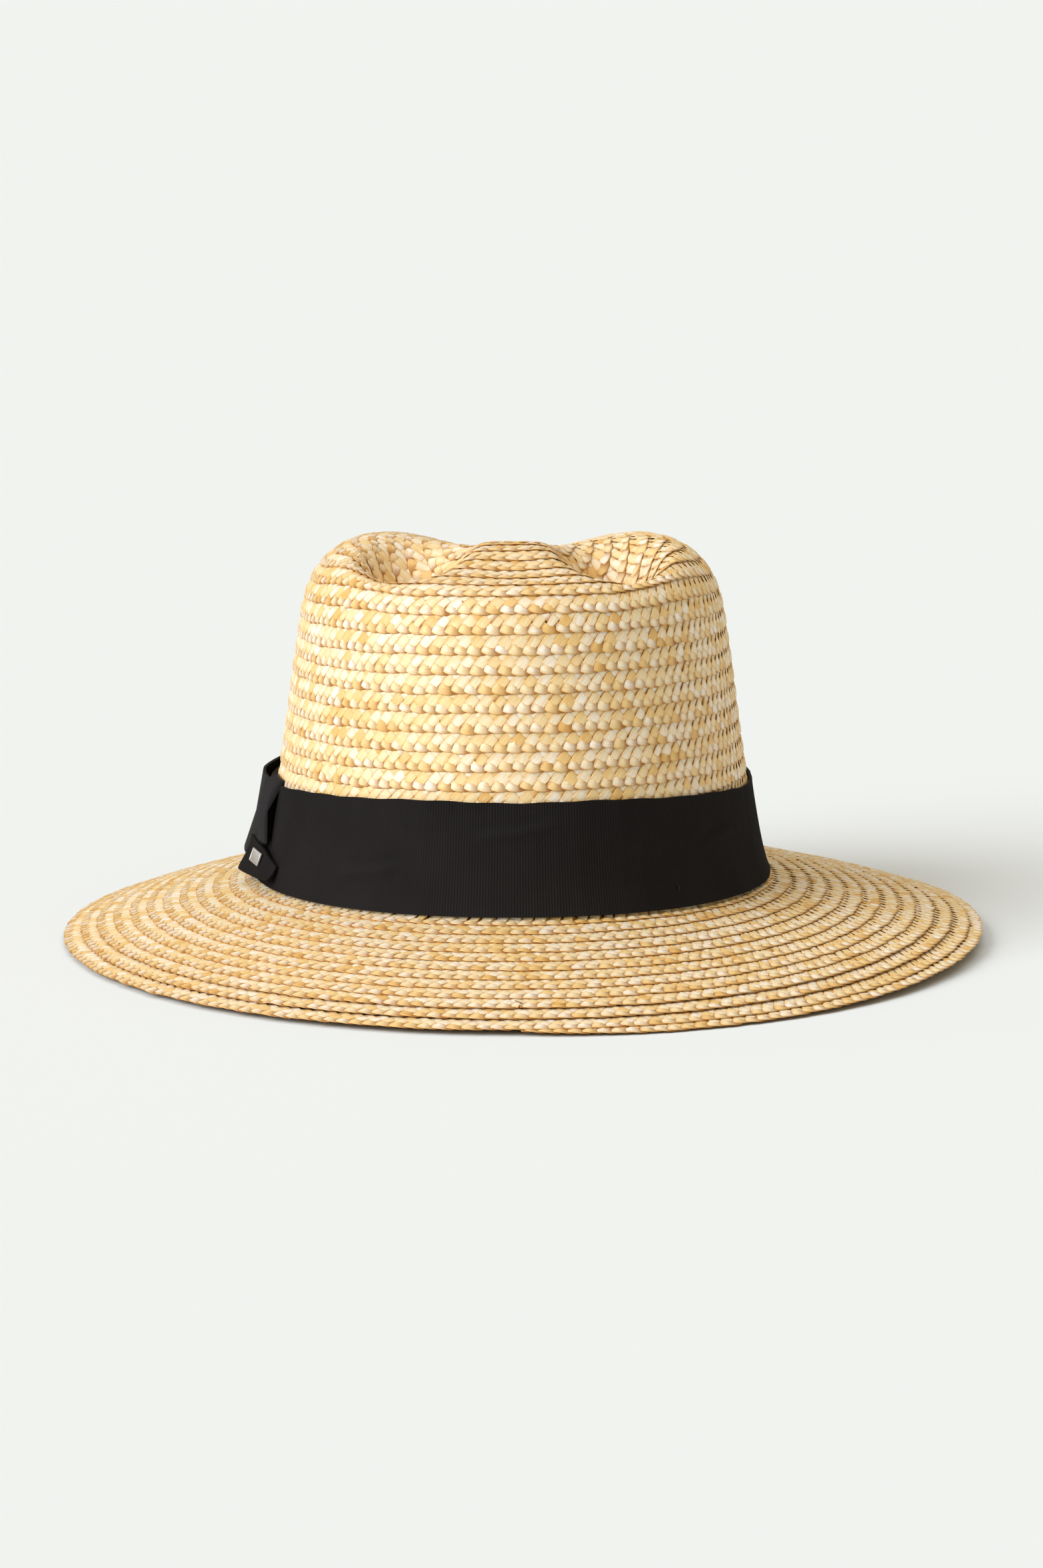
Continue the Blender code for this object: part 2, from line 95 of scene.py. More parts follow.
class Sheet:
    """A pressed sheet as a grid of points: [angle, distance from the headline]."""

    def __init__(self, lines):
        self.points, self.lengths = [], []
        for line in lines:
            steps = np.linalg.norm(np.diff(line, axis=0), axis=1)
            along = np.concatenate([[0.0], np.cumsum(steps)])
            even = np.linspace(0.0, along[-1], STATIONS)
            self.points.append(np.stack([np.interp(even, along, line[:, axis]) for axis in range(3)], -1))
            self.lengths.append(along[-1])
        self.points = np.array(self.points)
        self.lengths = np.array(self.lengths)
        around = np.roll(self.points, -1, axis=0) - np.roll(self.points, 1, axis=0)
        outward = np.gradient(self.points, axis=1)
        normals = np.cross(around, outward)
        normals = 0.5 * normals + 0.25 * (np.roll(normals, 1, axis=0) + np.roll(normals, -1, axis=0))
        normals[:, -1] = normals[:, -3]
        if normals[0, 0] @ (self.points[0, 0] - self.points[:, 0].mean(axis=0)) + normals[0, 0, 2] < 0.0:
            normals = -normals
        self.normals = normals / np.maximum(np.linalg.norm(normals, axis=-1, keepdims=True), 1e-12)

    def length(self, angle):
        turn = np.asarray(angle) / (2 * math.pi) * ANGLES
        low = np.floor(turn).astype(int)
        share = turn - low
        return self.lengths[low % ANGLES] * (1.0 - share) + self.lengths[(low + 1) % ANGLES] * share

    def at(self, angle, distance, lift=0.0):
        """Points and normals at angles round the head and distances from the headline, lifted off the sheet."""
        angle, distance = np.broadcast_arrays(np.asarray(angle, float), np.asarray(distance, float))
        turn = angle / (2 * math.pi) * ANGLES
        station = distance / self.length(angle) * (STATIONS - 1)
        column = np.floor(turn).astype(int)
        row = np.clip(np.floor(station).astype(int), 0, STATIONS - 2)
        a, b = (turn - column)[..., None], (station - row)[..., None]
        column, after = column % ANGLES, (column + 1) % ANGLES
        found = []
        for grid in (self.points, self.normals):
            near = grid[column, row] * (1.0 - a) + grid[after, row] * a
            far = grid[column, row + 1] * (1.0 - a) + grid[after, row + 1] * a
            found.append(near * (1.0 - b) + far * b)
        points, normals = found
        normals = normals / np.linalg.norm(normals, axis=-1, keepdims=True)
        return points + normals * np.asarray(lift)[..., None], normals


def tree_of(name):
    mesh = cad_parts[name].data
    return BVHTree.FromPolygons([tuple(v.co) for v in mesh.vertices], [tuple(p.vertices) for p in mesh.polygons])


def head_angles():
    return [2 * math.pi * step / ANGLES for step in range(ANGLES)]


crown_low, crown_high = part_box("crown")
CROWN_MIDDLE = Vector(((crown_low[0] + crown_high[0]) / 2, (crown_low[1] + crown_high[1]) / 2, 0.0))
HALF_WIDTH = (crown_high[0] - crown_low[0]) / 2
HALF_LENGTH = (crown_high[1] - crown_low[1]) / 2
RAY_CENTRE = CROWN_MIDDLE + Vector((0.0, 0.0, -RAY_CENTRE_DEPTH))


def measure_crown():
    """Meridians from the crown's lower edge up to the middle of its top, found by rays towards a point below."""
    tree = tree_of("crown")
    lines = []
    for angle in head_angles():
        side = Vector((HALF_WIDTH * math.cos(angle), HALF_LENGTH * math.sin(angle), 0.0))

        def hit(share):
            direction = (side * share + Vector((0.0, 0.0, 0.17 + 0.12 * (1.0 - share)))).normalized()
            return tree.ray_cast(RAY_CENTRE + direction, -direction)[0]

        inside, outside = 0.9, 1.2
        for _ in range(SEARCH_HALVINGS):
            middle = (inside + outside) / 2
            if hit(middle) is None:
                outside = middle
            else:
                inside = middle
        shares = inside * np.sin(np.linspace(math.pi / 2, 0.0, MERIDIAN_SAMPLES))
        lines.append(np.array([hit(share) for share in shares]))
    return Sheet(lines)


def measure_brim(headline):
    """Straight slopes from the headline out to the edge, at the height of the brim's top face."""
    low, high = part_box("brim_edge_braid")
    brim_tree, edge_tree = tree_of("brim"), tree_of("brim_edge_braid")
    lines = []
    for angle, start in zip(head_angles(), headline):
        start = Vector(start)
        end = Vector((high[0] * math.cos(angle), high[1] * math.sin(angle), 0.0))

        def top(tree, share):
            above = start.lerp(end, share)
            return tree.ray_cast(Vector((above.x, above.y, 1.0)), Vector((0.0, 0.0, -1.0)))[0]

        inner, middle = top(brim_tree, INNER_SHARE), top(brim_tree, MIDDLE_SHARE)
        outer = top(edge_tree, EDGE_SHARE)
        slope = (inner.z - middle.z) / SHARE_BETWEEN
        start_z = inner.z + INNER_SHARE * slope
        end_z = outer.z
        shares = np.linspace(0.0, 1.0, SLOPE_SAMPLES)
        line = [(*start.lerp(end, share).xy, start_z + (end_z - start_z) * share) for share in shares]
        lines.append(np.array(line))
    return Sheet(lines)


crown_sheet = measure_crown()
brim_sheet = measure_brim(crown_sheet.points[:, 0])
for label, sheet in (("crown from headline to middle:", crown_sheet), ("brim width:", brim_sheet)):
    print(label, np.round(sheet.lengths.min(), 4), np.round(sheet.lengths.max(), 4))

# %% [markdown]
# ## Finishes
#
# Each finish is a Principled shader, and what several of them share is a node group: a fine streak that runs along
# a straw, a yarn or a brushed plate. A group only puts out masks and heights, so each material decides what the
# streak does to its colour, its gloss and its bump.

# %% Helpers for materials
def new_group(name, inputs, outputs):
    group = bpy.data.node_groups.new(name, "ShaderNodeTree")
    for label, kind, value in inputs:
        socket = group.interface.new_socket(label, in_out="INPUT", socket_type=kind)
        if value is not None:
            socket.default_value = value
    for label, kind in outputs:
        group.interface.new_socket(label, in_out="OUTPUT", socket_type=kind)
    return group, group.nodes.new("NodeGroupInput"), group.nodes.new("NodeGroupOutput")


def math_node(tree, operation, *values):
    node = tree.nodes.new("ShaderNodeMath")
    node.operation = operation
    for index, value in enumerate(values):
        if isinstance(value, (int, float)):
            node.inputs[index].default_value = value
        else:
            tree.links.new(value, node.inputs[index])
    return node.outputs[0]


def mix_colour(tree, share, first, second, blend="MIX"):
    node = tree.nodes.new("ShaderNodeMix")
    node.data_type = "RGBA"
    node.blend_type = blend
    for socket, value in ((node.inputs[0], share), (node.inputs[6], first), (node.inputs[7], second)):
        if isinstance(value, (int, float)):
            socket.default_value = value
        elif isinstance(value, tuple):
            socket.default_value = (*value, 1.0)
        else:
            tree.links.new(value, socket)
    return node.outputs[2]


def ramp(tree, value, stops):
    node = tree.nodes.new("ShaderNodeValToRGB")
    while len(node.color_ramp.elements) < len(stops):
        node.color_ramp.elements.new(0.5)
    for element, (place, colour) in zip(node.color_ramp.elements, stops):
        element.position = place
        element.color = (*colour, 1.0)
    tree.links.new(value, node.inputs[0])
    return node.outputs[0]


def new_material(name, roughness=0.5, **constants):
    """A Principled material with its plain values set on the shader's own sockets."""
    made = bpy.data.materials.new(name)
    made.use_nodes = True
    shader = made.node_tree.nodes["Principled BSDF"]
    shader.inputs["Roughness"].default_value = roughness
    for label, value in constants.items():
        shader.inputs[label.replace("_", " ")].default_value = value
    return made, made.node_tree, shader


def place_group(tree, group, **values):
    node = tree.nodes.new("ShaderNodeGroup")
    node.node_tree = group
    for label, value in values.items():
        socket = node.inputs[label.replace("_", " ")]
        if isinstance(value, (int, float)):
            socket.default_value = value
        else:
            tree.links.new(value, socket)
    return node


def add_bump(tree, shader, height, strength, distance):
    bump = tree.nodes.new("ShaderNodeBump")
    bump.inputs["Strength"].default_value = strength
    bump.inputs["Distance"].default_value = distance
    tree.links.new(height, bump.inputs["Height"])
    tree.links.new(bump.outputs["Normal"], shader.inputs["Normal"])


def build_fibre_group():
    """Streaks along a fibre: long in the first coordinate, fine in the second."""
    group, given, result = new_group(
        "fibre_streaks",
        [("Along", "NodeSocketFloat", 0.0), ("Across", "NodeSocketFloat", 0.0), ("Seed", "NodeSocketFloat", 0.0),
         ("Length", "NodeSocketFloat", 0.006), ("Count", "NodeSocketFloat", 7.0)],
        [("Streak", "NodeSocketFloat"), ("Blotch", "NodeSocketFloat")],
    )
    links = group.links
    vector = group.nodes.new("ShaderNodeCombineXYZ")
    links.new(math_node(group, "DIVIDE", given.outputs["Along"], given.outputs["Length"]), vector.inputs[0])
    links.new(math_node(group, "MULTIPLY", given.outputs["Across"], given.outputs["Count"]), vector.inputs[1])
    links.new(math_node(group, "MULTIPLY", given.outputs["Seed"], 37.0), vector.inputs[2])
    fine = group.nodes.new("ShaderNodeTexNoise")
    fine.inputs["Scale"].default_value = 1.0
    fine.inputs["Detail"].default_value = 2.0
    links.new(vector.outputs[0], fine.inputs["Vector"])
    coarse = group.nodes.new("ShaderNodeTexNoise")
    coarse.inputs["Scale"].default_value = 0.31
    links.new(vector.outputs[0], coarse.inputs["Vector"])
    links.new(fine.outputs["Fac"], result.inputs["Streak"])
    links.new(coarse.outputs["Fac"], result.inputs["Blotch"])
    return group


FIBRE = build_fibre_group()
print("node group:", FIBRE.name, [item.name for item in FIBRE.interface.items_tree])

# %% [markdown]
# Natural wheat straw is a split stalk: glossy, ivory to gold, with fine lines along it. No two straws match, so
# each visible float of the plait carries its own tone in a colour attribute named "straw": red is the tone, green
# runs across the straw, blue is metres along it, and alpha is painted shade: browner where the straw dives under
# its neighbours, where light only reaches it through other straws, and where it turns at the plait's two edges.

# %% Straw finish
STRAW_TONES = [
    (0.0, (0.78, 0.47, 0.15)),
    (0.3, (0.91, 0.69, 0.34)),
    (0.6, (0.95, 0.84, 0.59)),
    (1.0, (0.99, 0.97, 0.90)),
]
# Painted shade: the edge colour darkens each straw along its two long edges, and the shade colour darkens the parts
# that dive under other straws.
STRAW_EDGE_SHADE_COLOUR = (0.80, 0.46, 0.10)
STRAW_CRINKLE_COLOUR = (0.83, 0.57, 0.23)
STRAW_SHADE_COLOUR = (0.40, 0.16, 0.02)


def build_straw_material(name):
    made, tree, shader = new_material(name, 0.42, Specular_IOR_Level=0.45)
    straw = tree.nodes.new("ShaderNodeVertexColor")
    straw.layer_name = "straw"
    parts = tree.nodes.new("ShaderNodeSeparateColor")
    tree.links.new(straw.outputs["Color"], parts.inputs[0])
    tone, across, along = parts.outputs[0], parts.outputs[1], parts.outputs[2]
    # depth is the painted shade carried in the attribute's alpha.
    depth = straw.outputs["Alpha"]
    fibre = place_group(tree, FIBRE, Along=along, Across=across, Seed=tone, Length=0.0024, Count=5.0)
    toned = math_node(tree, "ADD", tone, math_node(tree, "MULTIPLY_ADD", fibre.outputs["Blotch"], 0.5, -0.25))
    colour = ramp(tree, toned, STRAW_TONES)
    # Painted shade along each straw's two long edges, strongest at the very edge.
    edge = math_node(tree, "ABSOLUTE", math_node(tree, "MULTIPLY_ADD", across, 2.0, -1.0))
    edge = math_node(tree, "POWER", edge, 3.0)
    colour = mix_colour(tree, math_node(tree, "MULTIPLY", edge, 0.8), colour, STRAW_EDGE_SHADE_COLOUR)
    crinkle = math_node(tree, "MULTIPLY_ADD", fibre.outputs["Streak"], 3.2, -1.25)
    crinkle.node.use_clamp = True
    colour = mix_colour(tree, math_node(tree, "MULTIPLY", crinkle, 0.42), colour, STRAW_CRINKLE_COLOUR)
    # Painted shade: the straw is browned towards the shade colour as far as the alpha says.
    colour = mix_colour(tree, math_node(tree, "MULTIPLY", depth, 0.97), colour, STRAW_SHADE_COLOUR)
    tree.links.new(colour, shader.inputs["Base Color"])
    gloss = math_node(tree, "MULTIPLY_ADD", fibre.outputs["Streak"], 0.3, 0.28)
    tree.links.new(gloss, shader.inputs["Roughness"])
    add_bump(tree, shader, fibre.outputs["Streak"], 0.7, 0.25 * MM)
    return made


STRAW = build_straw_material("natural_straw")

# %% [markdown]
# ## Plait
#
# Four flat straws make this plait. Each straw swings from one edge to the other and back, and crosses three others
# on the way, over, under, over and then under, over, under. As a formula that is short: with a phase that grows
# along the plait, the straw's place across is a cosine and its height is the sine of three times the phase. Four
# straws a quarter of a turn apart then interlock by themselves, with no collisions to solve.
#
# The alternative is a bump map of a plait. It would be lighter, but the brim's edge, the shingled rows and the
# pinholes between straws are what makes a straw hat look like one, and they need real straws.

# %% Plait maker
PLAIT_REPEAT = 18.0 * MM
PLAIT_STRAWS = 4
STEPS_PER_REPEAT = 18
STRAW_HALF_WIDTH = 1.85 * MM
STRAW_RISE = 0.30 * MM
PLAIT_SWING = 2.7 * MM
EDGE_FLATNESS = 0.07
ROW_PITCH = 6.3 * MM
ROW_TILT = 0.15
SECTION = np.array([(-1.0, 0.0), (-0.88, 0.34), (0.0, 0.42), (0.88, 0.34), (1.0, 0.0), (0.0, -0.35)])
SECTION_HEIGHT = 0.75 * MM
STRAW_SHARP = 32.0
TURN_SAMPLES = 400
TONE_MIDDLE = 0.58
TONE_SPREAD = 0.21
TONE_DRIFT = 0.13
WIDTH_SPREAD = 0.13
RISE_SPREAD = 0.2
EDGE_WOBBLE = 0.17 * MM


def plait_mesh(name, places, start, end, seed, pitch_of, material):
    """Straws of the plait as one mesh. places(turn, offset, lift) gives points and normals: turn counts rows along
    the spiral, offset is metres across the plait towards its lower edge, and lift is metres off the surface."""
    random = np.random.default_rng(seed)
    turns = np.linspace(start, end, max(int(abs(end - start) * TURN_SAMPLES), 50))
    centre = places(turns, np.zeros_like(turns), 0.0)[0]
    run = np.concatenate([[0.0], np.cumsum(np.linalg.norm(np.diff(centre, axis=0), axis=1))])
    count = int(run[-1] / PLAIT_REPEAT * STEPS_PER_REPEAT)
    vertices, faces, colours = [], [], []
    for straw in range(PLAIT_STRAWS):
        phase = 2 * math.pi * (np.arange(count + 1) / STEPS_PER_REPEAT + straw / PLAIT_STRAWS)
        float_index = np.floor((3 * phase + math.pi / 2) / (2 * math.pi)).astype(int)
        floats = float_index.max() + 2
        spread = random.normal(0.0, 1.0, (4, floats))
        slow = np.convolve(random.normal(0.0, 1.0, floats + 8), np.ones(5) / 5 ** 0.5, "same")[:floats]
        tone = np.clip(TONE_MIDDLE + TONE_SPREAD * spread[0] + TONE_DRIFT * slow, 0.02, 0.98)[float_index]
        width = np.interp(3 * phase / (2 * math.pi), np.arange(floats), 1.0 + WIDTH_SPREAD * spread[1])
        wobble = np.interp(3 * phase / (2 * math.pi), np.arange(floats), spread[2])
        rise = np.interp(3 * phase / (2 * math.pi), np.arange(floats), spread[3])
        swing = (np.cos(phase) - EDGE_FLATNESS * np.cos(3 * phase)) / (1.0 - EDGE_FLATNESS)
        across = -PLAIT_SWING * swing + EDGE_WOBBLE * wobble
        weave = np.sin(3 * phase)
        turning = np.clip((np.abs(swing) - 0.75) / 0.25, 0.0, 1.0)
        height = STRAW_RISE * (1.0 + RISE_SPREAD * rise) * weave * (1.3 - 0.3 * weave**2) * (1.0 - 0.65 * turning**2)
        height = height + ROW_TILT * across
        distance = run[-1] * np.arange(count + 1) / count
        turn = np.interp(distance, run, turns)
        squeeze = pitch_of(turn) / ROW_PITCH
        middle, normal = places(turn, across * squeeze, height)
        tangent = np.gradient(middle, axis=0)
        tangent /= np.linalg.norm(tangent, axis=1, keepdims=True)
        side = np.cross(normal, tangent)
        side /= np.linalg.norm(side, axis=1, keepdims=True)
        half = (STRAW_HALF_WIDTH * width * np.sqrt(squeeze) * (1.0 - 0.25 * np.abs(swing) ** 3))[:, None, None]
        ring = middle[:, None] + side[:, None] * SECTION[None, :, :1] * half
        ring = ring + normal[:, None] * SECTION[None, :, 1:] * SECTION_HEIGHT
        base = sum(len(block) for block in vertices)
        vertices.append(ring.reshape(-1, 3))
        corners = len(SECTION)
        row = base + np.arange(count)[:, None] * corners
        now = row + np.arange(corners)
        nxt = row + (np.arange(corners) + 1) % corners
        faces.append(np.stack([now, nxt, nxt + corners, now + corners], -1).reshape(-1, 4))
        # Painted shade for the alpha: full where the straw dives under its neighbours, and 0.45 where it turns at the
        # plait's two edges.
        painted_shade = np.clip(-np.sin(3 * phase) * 1.4, 0.0, 1.0)
        painted_shade = np.maximum(painted_shade, 0.45 * np.clip((np.abs(swing) - 0.95) / 0.05, 0.0, 1.0))
        colour = np.empty((count + 1, corners, 4), np.float32)
        colour[..., 0] = tone[:, None]
        colour[..., 1] = SECTION[None, :, 0] * 0.5 + 0.5
        colour[..., 2] = distance[:, None]
        colour[..., 3] = painted_shade[:, None]
        colours.append(colour.reshape(-1, 4))
    return straw_object(name, np.concatenate(vertices), np.concatenate(faces), np.concatenate(colours), material)


def add_piece(name, mesh, material, sharp_degrees):
    """Smooth a mesh all but its sharp edges, give it its finish, and put it in the scene."""
    mesh.shade_smooth()
    mesh.set_sharp_from_angle(angle=math.radians(sharp_degrees))
    mesh.materials.append(material)
    made = bpy.data.objects.new(name, mesh)
    bpy.context.scene.collection.objects.link(made)
    return made


def straw_object(name, vertices, faces, colours, material):
    mesh = bpy.data.meshes.new(name)
    mesh.vertices.add(len(vertices))
    mesh.vertices.foreach_set("co", vertices.astype(np.float32).ravel())
    mesh.loops.add(faces.size)
    mesh.loops.foreach_set("vertex_index", faces.astype(np.int32).ravel())
    mesh.polygons.add(len(faces))
    mesh.polygons.foreach_set("loop_start", np.arange(0, faces.size, 4, dtype=np.int32))
    mesh.update(calc_edges=True)
    mesh.validate()
    mesh.attributes.new("straw", "FLOAT_COLOR", "POINT").data.foreach_set("color", colours.astype(np.float32).ravel())
    print(f"{name}: {len(faces) * 2} triangles")
    return add_piece(name, mesh, material, STRAW_SHARP)


# %% [markdown]
# The crown's plait starts as a little button in the middle of the top and winds down the wall. On the wall every
# row keeps the same pitch. Over the top the rows share out whatever the oval leaves them, as they do under a
# hatter's fingers.

# %% Crown plait
CROWN_ROWS = 28
WALL_ROWS = 13.0
SEAM_ANGLE = -math.pi / 2
PLAIT_SINK = -0.75 * MM
RIBBON_COVER = 31.0 * MM
CROWN_SEED = 10


def crown_distance(turn, angle):
    """Distance from the headline of a row on the crown: even on the wall, shared out over the top."""
    spare = crown_sheet.length(angle) - CROWN_ROWS * ROW_PITCH
    share = np.clip((turn - WALL_ROWS) / (CROWN_ROWS - WALL_ROWS), 0.0, 1.0)
    return turn * ROW_PITCH + spare * share * share * (3.0 - 2.0 * share)


def crown_place(turn, offset, lift):
    angle = SEAM_ANGLE + 2 * math.pi * turn
    distance = crown_distance(turn - offset / ROW_PITCH, angle)
    return crown_sheet.at(angle, distance, PLAIT_SINK + lift)


def even_pitch(turn):
    return np.full_like(turn, ROW_PITCH)


crown_cuts = [RIBBON_COVER / ROW_PITCH, 9.6, 14.6, CROWN_ROWS - 0.75]
crown_pieces = []
for index, (low_row, high_row) in enumerate(zip(crown_cuts, crown_cuts[1:])):
    piece_name, seed = f"crown_plait_{index + 1}", CROWN_SEED + index
    crown_pieces.append(plait_mesh(piece_name, crown_place, low_row, high_row, seed, even_pitch, STRAW))
for piece in crown_pieces:
    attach(piece, "hat")
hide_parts("crown")

# %% [markdown]
# A spiral can't start from nothing: the hatter folds the plait's first end into a small rosette, and the rows close
# round it. The rosette could be a disc with a picture of straw on it, but from above it is the first thing that one
# looks at. So it is real straws laid across each other, each a little higher than the one before.

# %% Crown rosette
ROSETTE_STRAWS = 7
ROSETTE_REACH = 9.0 * MM
ROSETTE_SINK = 2.4 * MM
ROSETTE_STEPS = 12
ROSETTE_STACK = 0.22 * MM
# A quarter of the painted shade on every rosette straw, all along its length.
ROSETTE_PAINTED_SHADE = 0.25
ROSETTE_TONE_SPREAD = 0.2
ROSETTE_SEED = 31


def crown_top(x, y):
    return tree_of_crown.ray_cast(Vector((x, y, 1.0)), Vector((0.0, 0.0, -1.0)))[0].z


def build_rosette():
    middle = crown_sheet.points[:, -1].mean(axis=0)
    random = np.random.default_rng(ROSETTE_SEED)
    vertices, faces, colours = [], [], []
    corners = len(SECTION)
    for straw in range(ROSETTE_STRAWS):
        angle = math.pi * straw / ROSETTE_STRAWS
        along = np.array([math.cos(angle), math.sin(angle), 0.0])
        side = np.array([-along[1], along[0], 0.0])
        base = len(vertices)
        tone = float(np.clip(random.normal(TONE_MIDDLE, ROSETTE_TONE_SPREAD), 0.05, 0.95))
        for step in np.linspace(-1.0, 1.0, ROSETTE_STEPS + 1):
            spot = middle + along * step * ROSETTE_REACH
            stacked = ROSETTE_STACK * straw * (1.0 - step * step)
            spot[2] = crown_top(spot[0], spot[1]) - ROSETTE_SINK + stacked
            for across, rise in SECTION:
                raised = np.array([0.0, 0.0, rise * SECTION_HEIGHT])
                vertices.append(spot + side * across * STRAW_HALF_WIDTH + raised)
                colours.append((tone, across * 0.5 + 0.5, (step + 1.0) * ROSETTE_REACH, ROSETTE_PAINTED_SHADE))
        for ring in range(ROSETTE_STEPS):
            for corner in range(corners):
                a, b = base + ring * corners + corner, base + ring * corners + (corner + 1) % corners
                faces.append((a, b, b + corners, a + corners))
    return straw_object("crown_rosette", np.array(vertices), np.array(faces), np.array(colours), STRAW)


tree_of_crown = tree_of("crown")
rosette = build_rosette()
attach(rosette, "hat")

# %% [markdown]
# The brim goes on winding outwards. Its last turn is tucked half under the row before, so that the edge is double
# and firm, and the plait's cut end is drawn in under it at the middle of the front, where it can't catch.

# %% Brim plait
BRIM_ROWS = 12.0
EDGE_REVEAL = 3.4 * MM
EDGE_TUCK = 1.3 * MM
EDGE_MARGIN = 2.3 * MM
END_TUCK = 0.9
END_TUCK_TURNS = 0.05
TUCK_START = 0.75
BRIM_SEED = 20
BRIM_PITCH = (float(brim_sheet.lengths.mean()) - EDGE_REVEAL - EDGE_MARGIN) / (BRIM_ROWS - 1.0)


def brim_place(turn, offset, lift):
    """turn counts rows outwards; the last one only shows EDGE_REVEAL of itself, and the first comes off the wall."""
    angle = SEAM_ANGLE - 2 * math.pi * turn
    stretch = brim_sheet.length(angle) / float(brim_sheet.lengths.mean())
    late = np.clip(turn - (BRIM_ROWS - 1.0), 0.0, 1.0) ** 0.5
    ending = np.clip((turn - BRIM_ROWS) / END_TUCK_TURNS + 1.0, 0.0, 1.0)
    late = late * (1.0 - END_TUCK * ending**2)
    lift = lift - EDGE_TUCK * np.clip((turn - TUCK_START * BRIM_ROWS) / ((1.0 - TUCK_START) * BRIM_ROWS), 0.0, 1.0)
    distance = (np.minimum(turn, BRIM_ROWS - 1.0) * BRIM_PITCH + late * EDGE_REVEAL + offset) * stretch
    on_brim = brim_sheet.at(angle, np.maximum(distance, 0.0), PLAIT_SINK + lift)
    on_wall = crown_sheet.at(angle, np.maximum(-distance, 0.0), 1.8 * PLAIT_SINK + lift)
    return [np.where((distance > 0.0)[..., None], brim, wall) for brim, wall in zip(on_brim, on_wall)]


def brim_pitch(turn):
    return np.full_like(turn, BRIM_PITCH)


brim_cuts = [-0.85, 5.5, 9.0, BRIM_ROWS]
brim_pieces = []
for index, (low_row, high_row) in enumerate(zip(brim_cuts, brim_cuts[1:])):
    piece_name, seed = f"brim_plait_{index + 1}", BRIM_SEED + index
    brim_pieces.append(plait_mesh(piece_name, brim_place, high_row, low_row, seed, brim_pitch, STRAW))
for piece in brim_pieces:
    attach(piece, "hat")
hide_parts("brim")
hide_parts("brim_edge_braid")

# %% [markdown]
# ## Grosgrain ribbon
#
# Grosgrain is a firm ribbon with round ribs from edge to edge, one a millimetre. The ribs catch the light in
# thin lines, which a smooth black strip would never do, so they are modelled. A ribbon is a row of small ribbed
# steps along a path: the path says how far round the head and how far off the crown each step stands.

# %% Ribbon finish
def build_ribbon_material(name, colour, sheen):
    made, tree, shader = new_material(name, 0.62, Specular_IOR_Level=0.05, Sheen_Weight=sheen, Sheen_Roughness=0.35)
    place = tree.nodes.new("ShaderNodeTexCoord").outputs["Object"]
    weave = tree.nodes.new("ShaderNodeTexNoise")
    weave.inputs["Scale"].default_value = 2600.0
    weave.inputs["Detail"].default_value = 2.0
    tree.links.new(place, weave.inputs["Vector"])
    wear = tree.nodes.new("ShaderNodeTexNoise")
    wear.inputs["Scale"].default_value = 38.0
    wear.inputs["Detail"].default_value = 4.0
    tree.links.new(place, wear.inputs["Vector"])
    lighter = tuple(min(1.0, part * 1.9 + 0.002) for part in colour)
    shade = math_node(tree, "MULTIPLY", weave.outputs["Fac"], wear.outputs["Fac"])
    worn = mix_colour(tree, math_node(tree, "MULTIPLY", shade, 1.6), colour, lighter)
    tree.links.new(worn, shader.inputs["Base Color"])
    tree.links.new(math_node(tree, "MULTIPLY_ADD", weave.outputs["Fac"], 0.3, 0.45), shader.inputs["Roughness"])
    add_bump(tree, shader, weave.outputs["Fac"], 0.3, 0.1 * MM)
    return made


RIBBON = build_ribbon_material("black_grosgrain", (0.0100, 0.0093, 0.0098), 0.0)
# The knot's strip is the same black ribbon painted about twice as light: a painted sheen where the strip catches the
# light at a grazing angle.
SHEEN_PAINTED_RIBBON = build_ribbon_material("black_grosgrain_fold", (0.019, 0.018, 0.021), 0.0)
THREAD = build_ribbon_material("black_thread", (0.012, 0.012, 0.013), 0.04)
print("finishes:", RIBBON.name, THREAD.name)

# %% [markdown]
# A ribbon could be a plane with a Solidify modifier, but then its ribs would have to be painted on. Here the ribbon
# is swept: one closed cross-section is repeated along the path, four steps to a rib, and the path and the surface
# under it are plain functions. The same maker then does for the hatband, the bow, and the smooth cloth inside.

# %% Ribbon maker
RIBBON_THICKNESS = 0.7 * MM
RIB_PITCH = 1.0 * MM
RIB_DEPTH = 0.26 * MM
STEPS_PER_RIB = 4
CLOTH_SHARP = 60.0


